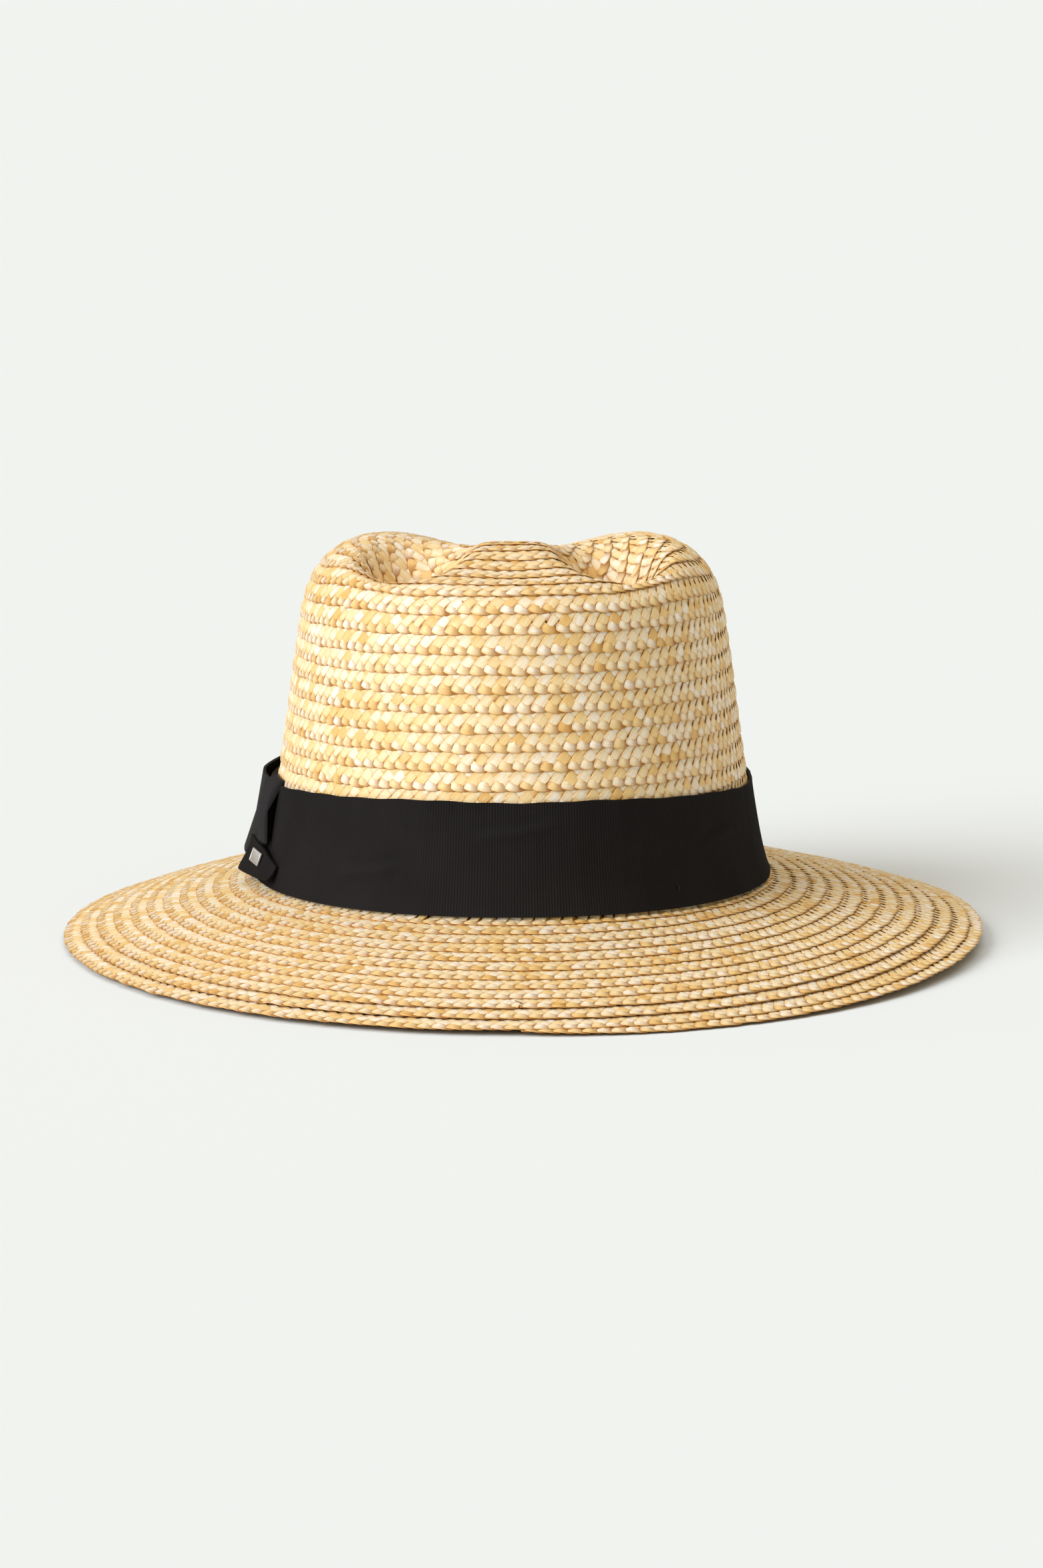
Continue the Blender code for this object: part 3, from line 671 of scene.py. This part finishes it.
def ribbon_mesh(name, path, length, rows, place, material, closed=False, rib_pitch=RIB_PITCH, rib_depth=RIB_DEPTH,
                thickness=RIBBON_THICKNESS):
    """Ribbed ribbon. path(share) gives (round, off) in metres: how far round the head from the path's start, and
    how far off the crown. place(round, up, off) gives points, with up from 0 at the lower edge to 1."""
    ribs = int(round(length / rib_pitch))
    count = ribs * STEPS_PER_RIB
    share = np.arange(count + (0 if closed else 1)) / count
    middle = np.stack(path(share), -1)
    ahead, behind = np.stack(path(share + 0.5 / count), -1), np.stack(path(share - 0.5 / count), -1)
    run = ahead - behind
    run /= np.maximum(np.linalg.norm(run, axis=1, keepdims=True), 1e-12)
    out = np.stack([-run[:, 1], run[:, 0]], -1)
    rib = rib_depth * (0.5 - 0.5 * np.cos(2 * math.pi * share * ribs))
    ups = np.linspace(0.0, 1.0, rows)
    edge = 0.12 * MM * np.exp(-np.minimum(ups, 1.0 - ups) * 60.0)
    section = [(up, thickness / 2 + extra, 1.0) for up, extra in zip(ups, edge)]
    section += [(up, -thickness / 2, 0.0) for up in (1.0, 0.5, 0.0)]
    rings = []
    for up, side, ribbed in section:
        spot = middle + out * (side + ribbed * rib)[:, None]
        rings.append(place(spot[:, 0], np.full(len(spot), up), spot[:, 1]))
    points = np.stack(rings, 1)
    corners = len(section)
    columns = np.arange(len(share) if closed else len(share) - 1)
    first = columns[:, None] * corners + np.arange(corners)
    second = ((columns + 1) % len(share))[:, None] * corners + np.arange(corners)
    faces = np.stack([first, second, np.roll(second, -1, 1), np.roll(first, -1, 1)], -1).reshape(-1, 4)
    mesh = bpy.data.meshes.new(name)
    mesh.from_pydata(points.reshape(-1, 3).tolist(), [], faces.tolist())
    if not closed:
        close_ends(mesh)
    make_outward(mesh)
    made = add_piece(name, mesh, material, CLOTH_SHARP)
    print(f"{name}: {ribs} ribs, {len(mesh.polygons)} faces")
    return made


def close_ends(mesh):
    work = bmesh.new()
    work.from_mesh(mesh)
    bmesh.ops.holes_fill(work, edges=[edge for edge in work.edges if edge.is_boundary], sides=0)
    work.to_mesh(mesh)
    work.free()


def make_outward(mesh):
    work = bmesh.new()
    work.from_mesh(mesh)
    bmesh.ops.recalc_face_normals(work, faces=work.faces)
    work.to_mesh(mesh)
    work.free()


# %% [markdown]
# The hatband goes once round the crown. It is pulled tight and steamed, but still keeps a few soft creases, and its
# top edge waves a little where it was eased over the straw, and dips at the sides, where the oval turns least.

# %% Hatband
ribbon_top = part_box("hatband_ribbon")[1][2]
FRONT = int(round(0.75 * ANGLES))
front_line = crown_sheet.points[FRONT]
front_run = np.linspace(0.0, crown_sheet.lengths[FRONT], STATIONS)
RIBBON_HEIGHT = float(np.interp(ribbon_top, front_line[:, 2], front_run))
BAND_LIFT = 0.85 * MM
SIDE_DIP = 4.2 * MM
BAND_FOOT = -0.9 * MM
headline = crown_sheet.points[:, 8]
HEADLINE_LENGTH = float(np.linalg.norm(np.roll(headline, -1, 0) - headline, axis=1).sum())
CREASES = [(-2.30, -2.02, 0.36, 0.55), (-1.72, -1.42, 0.74, 0.45), (-0.72, -0.5, 0.60, 0.6), (1.2, 1.6, 0.5, 0.6)]


def band_wrinkle(angle, up):
    """Soft buckles of the hatband, and a few level creases, in metres."""
    lift = 0.16 * MM * np.sin(7 * angle + 1.3) * np.sin(math.pi * up)
    lift += 0.13 * MM * np.sin(23 * angle + 5 * up) * (1.0 - up) ** 2
    lift += 0.10 * MM * np.sin(41 * angle - 3 * up + 0.7) * up**2
    turned = (angle + math.pi) % (2 * math.pi) - math.pi
    for start, end, height, depth in CREASES:
        middle, half = (start + end) / 2, (end - start) / 2
        reach = np.exp(-(((turned - middle) / half) ** 4))
        level = height + 0.05 * (turned - middle) / half
        ridge = np.exp(-(((up - level) / 0.035) ** 2))
        hollow = np.exp(-(((up - level - 0.06) / 0.05) ** 2))
        lift += 1.8 * depth * MM * reach * (ridge - 0.5 * hollow)
    return lift


def band_place(around, up, off):
    angle = around / HEADLINE_LENGTH * 2 * math.pi
    wave = 0.2 * MM * np.sin(9 * angle) + 0.12 * MM * np.sin(31 * angle + 2.0)
    dip = SIDE_DIP * np.cos(angle) ** 4
    distance = BAND_FOOT + up * (RIBBON_HEIGHT - BAND_FOOT + wave - dip)
    return crown_sheet.at(angle, distance, BAND_LIFT + off + band_wrinkle(angle, up))[0]


hatband = ribbon_mesh(
    "hatband", lambda share: (share * HEADLINE_LENGTH, np.zeros_like(share)), HEADLINE_LENGTH, 26, band_place, RIBBON,
    closed=True,
)
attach(hatband, "hat")
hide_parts("hatband_ribbon")

# %% [markdown]
# The bow sits on the left side of the head. It is a flat loop of the same ribbon, pinched by a narrow strip that
# folds in over the hatband's top, and it ends in a short flap that stands out over the brim.

# %% Bow
loop_low, loop_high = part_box("bow_loop")
knot_low, knot_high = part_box("bow_knot")
flap_low, flap_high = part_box("bow_flap")
LAYER = RIBBON_THICKNESS + 0.25 * MM
LOOP_BULGE = 3.8 * MM
LOOP_FLARE = 3.2 * MM
KNOT_WIDTH = float(knot_high[1] - knot_low[1])
KNOT_TOP_DROP = 1.8 * MM
KNOT_FOOT_DROP = 0.2 * MM
LOOP_TOP_DROP = 3.6 * MM
LOOP_LAYERS = 2.1
KNOT_START = 1.5 * MM
KNOT_TAPER = 0.12
KNOT_LAYERS = 3.1
KNOT_BOW = 1.5 * MM
KNOT_FOLD_START = 0.78
KNOT_FOLD_SPAN = 0.22
side_angles = np.linspace(math.pi * 0.7, math.pi * 1.3, 400)
side_line = crown_sheet.at(side_angles, np.full(400, RIBBON_HEIGHT / 2), BAND_LIFT + LAYER)[0]


def bow_angle(depth):
    """Angle round the head of a place on the bow's side, by its Y."""
    return np.interp(-depth, -side_line[:, 1], side_angles)


def bow_distance(height):
    """Distance from the headline of a height on the bow's side."""
    side = crown_sheet.points[ANGLES // 2]
    return np.interp(height, side[:, 2], np.linspace(0.0, crown_sheet.lengths[ANGLES // 2], STATIONS))


def loop_path(share):
    """Front end to back end on the inner layer, round the fold, and forwards again on the outer layer."""
    share = np.asarray(share)
    length = loop_high[1] - loop_low[1]
    fold = np.clip((share - 0.47) / 0.06, 0.0, 1.0)
    out_run = np.clip((1.0 - share) / 0.47, 0.0, 1.2)
    in_run = np.clip(share / 0.47, -0.2, 1.0)
    free = np.clip((out_run * length - KNOT_WIDTH) / (length - KNOT_WIDTH), 0.0, 1.0)
    outer_off = LAYER * 2 + LOOP_BULGE * np.sin(math.pi / 2 * np.minimum(2.5 * free, 1.0))
    half = (LAYER + LOOP_BULGE) / 2
    around = np.where(fold <= 0.0, in_run * length, np.where(fold >= 1.0, out_run * length,
                      length + half * np.sin(math.pi * fold)))
    off = np.where(fold <= 0.0, LAYER, np.where(fold >= 1.0, outer_off, LAYER + half - half * np.cos(math.pi * fold)))
    return around, off


def loop_place(around, up, off):
    angle = bow_angle(loop_low[1] + around)
    low, high = bow_distance(loop_low[2]), bow_distance(loop_high[2]) - LOOP_TOP_DROP
    outer = np.clip((off - 1.3 * LAYER) / LAYER, 0.0, 1.0)
    free = np.clip((around - KNOT_WIDTH) / (loop_high[1] - loop_low[1] - KNOT_WIDTH), 0.0, 1.0)
    flare = LOOP_FLARE * outer * (1.0 - up) ** 2 * free**0.5
    return crown_sheet.at(angle, low + (high - low) * up, BAND_LIFT + off + flare)[0]


loop = ribbon_mesh("side_bow_loop", loop_path, LOOP_LAYERS * (loop_high[1] - loop_low[1]), 12, loop_place, RIBBON)


def knot_place(around, up, off):
    """The strip bows out in the middle, and its top end folds over the hatband onto the straw."""
    angle = bow_angle(knot_low[1] + KNOT_START + around * (1.0 - KNOT_TAPER * up))
    low, high = bow_distance(knot_low[2]) - KNOT_FOOT_DROP, RIBBON_HEIGHT - KNOT_TOP_DROP
    fold = np.clip((up - KNOT_FOLD_START) / KNOT_FOLD_SPAN, 0.0, 1.0)
    full = KNOT_LAYERS * LAYER + KNOT_BOW * np.sin(math.pi * np.minimum(up / 0.9, 1.0))
    level = full * np.sqrt(np.maximum(1.0 - fold**2, 0.0))
    edge = 2 * np.abs(around / KNOT_WIDTH - 0.5)
    return crown_sheet.at(angle, low + (high - low) * up, BAND_LIFT + level + off - 0.5 * MM * edge**3)[0]


# The strip uses the ribbon with the painted sheen.
knot = ribbon_mesh("side_bow_knot", lambda share: (share * KNOT_WIDTH, np.zeros_like(share)), KNOT_WIDTH, 26,
                   knot_place, SHEEN_PAINTED_RIBBON)
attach(loop, "hat")
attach(knot, "hat")
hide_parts("bow_loop")
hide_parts("bow_knot")

# %% [markdown]
# The flap is cut square, sealed along its edges, and curls a little where it hangs free. It carries the badge, so
# both ride on the flap's own body.

# %% Flap
FLAP_FRONT_OFF = 1.6 * MM
FLAP_BACK_OFF = 4.8 * MM
FLAP_BACKWARD = 2.0 * MM
FLAP_CORNER = 3.0 * MM
FLAP_TOP_DROP = 1.4 * MM
FLAP_FOOT_SLOPE = 2.7 * MM
FLAP_FLARE = 1.6 * MM
FLAP_FOOT_UP = 1.1 * MM
FLAP_CURL = 0.8 * MM


def flap_place(around, up, off):
    depth = flap_low[1] + FLAP_BACKWARD + around
    angle = bow_angle(depth)
    length = float(flap_high[1] - flap_low[1])
    corner = FLAP_CORNER * np.clip(1.0 - around / (0.4 * length), 0.0, 1.0)
    low = bow_distance(flap_low[2]) + FLAP_FOOT_UP - FLAP_FOOT_SLOPE * around / length
    high = bow_distance(flap_high[2]) - 1.5 * FLAP_TOP_DROP * (1.0 - around / length) - corner
    curl = FLAP_CURL * np.sin(3 * math.pi * around / length + 0.5) * (1.0 - up) ** 2
    back = np.clip(around / length, 0.0, 1.0) ** 1.3
    lift = FLAP_FRONT_OFF + (FLAP_BACK_OFF - FLAP_FRONT_OFF) * back + FLAP_FLARE * (1.0 - up) ** 1.5 + curl
    distance = low + (high - low) * up
    under = np.minimum(distance, 0.0)
    point = crown_sheet.at(angle, np.maximum(distance, 0.0), BAND_LIFT + lift + off)[0]
    return point + np.stack([np.zeros_like(under), np.zeros_like(under), under], -1)


FLAP_LENGTH = float(flap_high[1] - flap_low[1]) - FLAP_BACKWARD
flap = ribbon_mesh("side_bow_flap", lambda share: (share * FLAP_LENGTH, np.zeros_like(share)), FLAP_LENGTH, 12,
                   flap_place, RIBBON)
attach(flap, "bow_flap")
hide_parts("bow_flap")

# %% [markdown]
# The small metal plate on the flap is a stamped blank: a flat field inside a raised rim, with every corner softened.
# It could be a bevelled box alone, but the rim is what catches a thin bright line. The plate is stiff, so it takes
# its place and slant from three points of the flap and doesn't bend with it.

# %% Badge
def build_badge_material():
    made, tree, shader = new_material("satin_silver", 0.35, Metallic=1.0)
    place = tree.nodes.new("ShaderNodeSeparateXYZ")
    tree.links.new(tree.nodes.new("ShaderNodeTexCoord").outputs["Object"], place.inputs[0])
    fibre = place_group(tree, FIBRE, Along=place.outputs[1], Across=place.outputs[2], Length=0.004, Count=9000.0)
    colour = mix_colour(tree, fibre.outputs["Streak"], (0.62, 0.62, 0.63), (0.86, 0.86, 0.87))
    tree.links.new(colour, shader.inputs["Base Color"])
    tree.links.new(math_node(tree, "MULTIPLY_ADD", fibre.outputs["Streak"], 0.25, 0.24), shader.inputs["Roughness"])
    add_bump(tree, shader, fibre.outputs["Streak"], 0.2, 0.05 * MM)
    return made


badge_low, badge_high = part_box("badge_plate")
BADGE_SIZE = (11.0 * MM, 4.5 * MM, 0.8 * MM)
BADGE_UP = 0.62
BADGE_RIM = 0.45 * MM
BADGE_FIELD_DEPTH = 0.2 * MM
BADGE_SHOULDER = 0.2 * MM
BADGE_BEVEL = 0.14 * MM
BADGE_GAP = 0.1 * MM
BADGE_PROBE = 4 * MM
BADGE_SHARP = 35.0


def badge_frame():
    """Axes along the flap, up the flap and out of it, at the flap's outer face under the knot."""
    around = (badge_low[1] + badge_high[1]) / 2 - flap_low[1] - 2 * FLAP_BACKWARD
    rounds = np.array([around, around + BADGE_PROBE, around - BADGE_PROBE, around, around])
    ups = BADGE_UP + np.array([0.0, 0.0, 0.0, 0.15, -0.15])
    spots = [Vector(spot) for spot in flap_place(rounds, ups, np.full(5, RIBBON_THICKNESS / 2 + RIB_DEPTH))]
    along = (spots[1] - spots[2]).normalized()
    out = (spots[3] - spots[4]).cross(along).normalized()
    if out.x > 0.0:
        out.negate()
    turned = Matrix((along, out.cross(along), out)).transposed().to_4x4()
    turned.translation = spots[0] + out * (BADGE_SIZE[2] / 2 + BADGE_GAP)
    return turned


def build_badge():
    work = bmesh.new()
    bmesh.ops.create_cube(work, size=1.0, matrix=Matrix.Diagonal((*BADGE_SIZE, 1.0)))
    face = max(work.faces, key=lambda f: f.calc_center_median().z)
    bmesh.ops.inset_region(work, faces=[face], thickness=BADGE_RIM)
    bmesh.ops.inset_region(work, faces=[face], thickness=BADGE_SHOULDER, depth=-BADGE_FIELD_DEPTH)
    sharp = [edge for edge in work.edges if edge.calc_face_angle(0.0) > 0.6]
    bmesh.ops.bevel(work, geom=sharp, offset=BADGE_BEVEL, segments=3, affect="EDGES", profile=0.5)
    work.transform(badge_frame())
    mesh = bpy.data.meshes.new("badge")
    work.to_mesh(mesh)
    work.free()
    return add_piece("badge", mesh, build_badge_material(), BADGE_SHARP)


badge = build_badge()
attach(badge, "bow_flap")
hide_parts("badge_plate")
print("badge:", len(badge.data.polygons), "faces")

# %% [markdown]
# A few stitches hold the hatband, and two rows of them hold the cloth inside. A stitch is a short arch of thread
# that dives into the cloth at both ends. A bevelled curve would do for one, but a row round the head is two hundred,
# so this maker sweeps them all into one mesh, each twisted a little as a two-ply thread is.

# %% Stitch maker
STITCH_STEPS = 6
STITCH_SIDES = 6


def stitch_mesh(name, starts, ends, normals, radius):
    """Thread stitches from starts to ends, arched along normals."""
    vertices, faces = [], []
    turn = 2 * math.pi * np.arange(STITCH_SIDES) / STITCH_SIDES
    share = np.linspace(0.0, 1.0, STITCH_STEPS)
    arch = radius * (1.9 * np.sin(math.pi * share) ** 0.6 - 0.9)
    for start, end, normal in zip(starts, ends, normals):
        along = (end - start) / np.linalg.norm(end - start)
        side = np.cross(along, normal)
        base = len(vertices)
        for step, rise in zip(share, arch):
            twist = turn + 2.5 * step
            wide = radius * (1.0 + 0.18 * np.cos(2 * turn))
            middle = start + (end - start) * step + normal * rise
            vertices += [tuple(middle + (side * math.cos(a) + normal * math.sin(a)) * r) for a, r in zip(twist, wide)]
        for ring in range(STITCH_STEPS - 1):
            for corner in range(STITCH_SIDES):
                a, b = base + ring * STITCH_SIDES + corner, base + ring * STITCH_SIDES + (corner + 1) % STITCH_SIDES
                faces.append((a, b, b + STITCH_SIDES, a + STITCH_SIDES))
        last = base + (STITCH_STEPS - 1) * STITCH_SIDES
        faces.append(tuple(range(base + STITCH_SIDES - 1, base - 1, -1)))
        faces.append(tuple(range(last, last + STITCH_SIDES)))
    mesh = bpy.data.meshes.new(name)
    mesh.from_pydata(vertices, [], faces)
    make_outward(mesh)
    made = add_piece(name, mesh, THREAD, CLOTH_SHARP)
    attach(made, "hat")
    print(f"{name}: {len(starts)} stitches")
    return made


# %% [markdown]
# The tacks go where the frame has them: small upright stitches low on the hatband, in the ribbon's own black.

# %% Tacks
TACK_RADIUS = 0.4 * MM
for tack_node in sorted(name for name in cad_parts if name.startswith("hatband_tack_")):
    low, high = (Vector(corner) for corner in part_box(tack_node))
    middle = (low + high) / 2
    head_angle = math.atan2((middle.y - CROWN_MIDDLE.y) / HALF_LENGTH, (middle.x - CROWN_MIDDLE.x) / HALF_WIDTH)
    head_angle %= 2 * math.pi
    side = crown_sheet.points[int(round(head_angle / (2 * math.pi) * ANGLES)) % ANGLES]
    run = np.linspace(0.0, float(crown_sheet.length(head_angle)), STATIONS)
    heights = [float(np.interp(height, side[:, 2], run)) for height in (low.z, high.z)]
    around = np.full(2, head_angle / (2 * math.pi) * HEADLINE_LENGTH)
    ends = band_place(around, np.array(heights) / RIBBON_HEIGHT, np.full(2, RIBBON_THICKNESS / 2 + RIB_DEPTH))
    normal = crown_sheet.at(head_angle, heights[0])[1]
    tack = stitch_mesh(tack_node.replace("hatband_", "") + "_stitch", ends[:1], ends[1:], [normal], TACK_RADIUS)
    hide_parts(tack_node)

# %% [markdown]
# ## Inside
#
# The sweatband is a strip of close black cloth, sewn to the crown along the headline and free along its folded top,
# so that it can be turned down. Its weave is a twill, a fine slanting rib, which comes from a wave that runs along
# the slant. On cloth this dark a modelled thread wouldn't show, so the twill is colour and bump only.

# %% Cloth finish
def build_cloth_material(name, colour, lighter, twill_scale):
    made, tree, shader = new_material(name, 0.85, Specular_IOR_Level=0.15, Sheen_Weight=0.03)
    place = tree.nodes.new("ShaderNodeTexCoord").outputs["Object"]
    twill = tree.nodes.new("ShaderNodeTexWave")
    twill.bands_direction = "DIAGONAL"
    twill.inputs["Scale"].default_value = twill_scale
    twill.inputs["Distortion"].default_value = 0.6
    tree.links.new(place, twill.inputs["Vector"])
    fuzz = tree.nodes.new("ShaderNodeTexNoise")
    fuzz.inputs["Scale"].default_value = 1800.0
    tree.links.new(place, fuzz.inputs["Vector"])
    weave = math_node(tree, "MULTIPLY", twill.outputs["Fac"], fuzz.outputs["Fac"])
    tree.links.new(mix_colour(tree, weave, colour, lighter), shader.inputs["Base Color"])
    tree.links.new(math_node(tree, "MULTIPLY_ADD", fuzz.outputs["Fac"], 0.2, 0.72), shader.inputs["Roughness"])
    add_bump(tree, shader, weave, 0.5, 0.12 * MM)
    return made


CLOTH = build_cloth_material("sweatband_cloth", (0.018, 0.017, 0.016), (0.055, 0.052, 0.050), 330.0)
LABEL_CLOTH = build_cloth_material("woven_label", (0.66, 0.64, 0.59), (0.84, 0.82, 0.77), 700.0)
print("finishes:", CLOTH.name, LABEL_CLOTH.name)

# %% [markdown]
# The sweatband follows the crown's own sheet, a straw's thickness and a little air inside it, and swells a touch
# between its stitches and its free edge.

# %% Sweatband
sweat_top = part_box("sweatband")[1][2]
SWEATBAND_SINK = -2.95 * MM
SWEATBAND_THICKNESS = 0.8 * MM
SEAM_UP = 0.10
HEM_UP = 0.92
SWEATBAND_START = 1.2 * MM
SWEATBAND_HEIGHT = float(np.interp(sweat_top, front_line[:, 2], front_run)) - SWEATBAND_START
INSIDE_LENGTH = HEADLINE_LENGTH - 2 * math.pi * abs(SWEATBAND_SINK)


def sweatband_place(around, up, off):
    angle = around / INSIDE_LENGTH * 2 * math.pi
    soft = -0.35 * MM * np.sin(math.pi * up) * (1.0 + 0.5 * np.sin(9 * angle + 1.0))
    wave = 0.3 * MM * np.sin(13 * angle) * up
    hem = 0.2 * MM * np.exp(-(((up - HEM_UP) / 0.03) ** 2))
    distance = SWEATBAND_START + up * (SWEATBAND_HEIGHT + wave)
    return crown_sheet.at(angle, distance, SWEATBAND_SINK + soft - off + hem)[0]


sweatband = ribbon_mesh(
    "sweatband_strip", lambda share: (share * INSIDE_LENGTH, np.zeros_like(share)), INSIDE_LENGTH, 30,
    sweatband_place, CLOTH, closed=True, rib_pitch=6.0 * MM, rib_depth=0.0, thickness=SWEATBAND_THICKNESS,
)
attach(sweatband, "hat")
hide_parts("sweatband")


def stitch_row(name, up, pitch, radius):
    """A running stitch round the inside face of the sweatband."""
    count = int(INSIDE_LENGTH / pitch)
    starts_round = np.arange(count) * INSIDE_LENGTH / count
    face = np.full(count, SWEATBAND_THICKNESS / 2)
    starts = sweatband_place(starts_round, np.full(count, up), face)
    ends = sweatband_place(starts_round + pitch * 0.72, np.full(count, up), face)
    angle = starts_round / INSIDE_LENGTH * 2 * math.pi
    normals = -crown_sheet.at(angle, np.full(count, SWEATBAND_START + up * SWEATBAND_HEIGHT))[1]
    return stitch_mesh(name, starts, ends, normals, radius)


stitch_row("sweatband_seam_stitches", SEAM_UP, 4.0 * MM, 0.28 * MM)
stitch_row("sweatband_hem_stitches", HEM_UP, 3.4 * MM, 0.24 * MM)

# %% [markdown]
# At the back the sweatband's two ends meet, and a strip of the same cloth covers the joint. The size label is folded
# woven satin, left blank, sewn along its top edge over the tape. It turns on that edge, so it rides on its own body.

# %% Joint tape and label
tape_low, tape_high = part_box("sweatband_joint_tape")
label_low, label_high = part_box("size_label")
TAPE_WIDTH = float(tape_high[0] - tape_low[0])
TAPE_THICKNESS = 0.5 * MM
LABEL_WIDTH = float(label_high[0] - label_low[0])
LABEL_THICKNESS = 0.6 * MM


def tape_place(around, up, off):
    angle = math.pi / 2 + (around - TAPE_WIDTH / 2) / TAPE_WIDTH * 2 * math.asin(TAPE_WIDTH / 2 / HALF_WIDTH)
    distance = SWEATBAND_START + SWEATBAND_HEIGHT * (0.06 + 0.86 * up)
    sink = SWEATBAND_SINK - SWEATBAND_THICKNESS / 2 - TAPE_THICKNESS / 2 - 0.75 * MM
    return crown_sheet.at(angle, distance, sink - off)[0]


tape = ribbon_mesh("joint_tape", lambda share: (share * TAPE_WIDTH, np.zeros_like(share)), TAPE_WIDTH, 16,
                   tape_place, CLOTH, rib_depth=0.0, thickness=TAPE_THICKNESS)
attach(tape, "hat")
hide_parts("sweatband_joint_tape")


def label_place(around, up, off):
    """The label hangs from its top edge, leans with the wall behind it, and curls a little at its free end."""
    lean = label_high[1] - LABEL_THICKNESS / 2 + (label_low[1] - label_high[1] + LABEL_THICKNESS) * up
    curl = -0.5 * MM * (1.0 - up) ** 3
    height = label_low[2] + (label_high[2] - label_low[2]) * up
    return np.stack([label_low[0] + around, lean + curl - off, height], -1)


label = ribbon_mesh("blank_size_label", lambda share: (share * LABEL_WIDTH, np.zeros_like(share)), LABEL_WIDTH, 12,
                    label_place, LABEL_CLOTH, rib_depth=0.03 * MM, thickness=LABEL_THICKNESS)
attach(label, "size_label")
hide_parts("size_label")

# %% [markdown]
# ## Table and light
#
# A pale table and soft daylight from the left: a wide key sun, a weaker one from above, and a warm even sky that
# fills the shade. Lamps would do too, but suns light a thing of any size alike, and their angle alone sets how soft
# the shadow is.

# %% Floor and lights
def build_floor():
    mesh = bpy.data.meshes.new("floor")
    work = bmesh.new()
    bmesh.ops.create_grid(work, x_segments=1, y_segments=1, size=40.0)
    work.to_mesh(mesh)
    work.free()
    made = bpy.data.objects.new("floor", mesh)
    bpy.context.scene.collection.objects.link(made)
    material, _, shader = new_material("pale_table", 0.9, Specular_IOR_Level=0.0)
    shader.inputs["Base Color"].default_value = (0.834, 0.910, 0.985, 1.0)
    mesh.materials.append(material)


def add_sun(name, direction, strength, softness, colour):
    data = bpy.data.lights.new(name, "SUN")
    data.energy = strength
    data.angle = math.radians(softness)
    data.color = colour
    made = bpy.data.objects.new(name, data)
    made.rotation_euler = Vector(direction).to_track_quat("-Z", "Y").to_euler()
    bpy.context.scene.collection.objects.link(made)


build_floor()
add_sun("key", (0.85, 0.6, -0.6), 2.5, 40.0, (1.0, 0.99, 0.985))
add_sun("top", (-0.1, -0.2, -1.0), 0.7, 60.0, (1.0, 1.0, 1.0))
world = bpy.data.worlds.new("studio")
world.use_nodes = True
world.node_tree.nodes["Background"].inputs["Color"].default_value = (1.0, 0.85, 0.62, 1.0)
world.node_tree.nodes["Background"].inputs["Strength"].default_value = 0.44
bpy.context.scene.world = world
print("lights:", [item.name for item in bpy.data.lights])
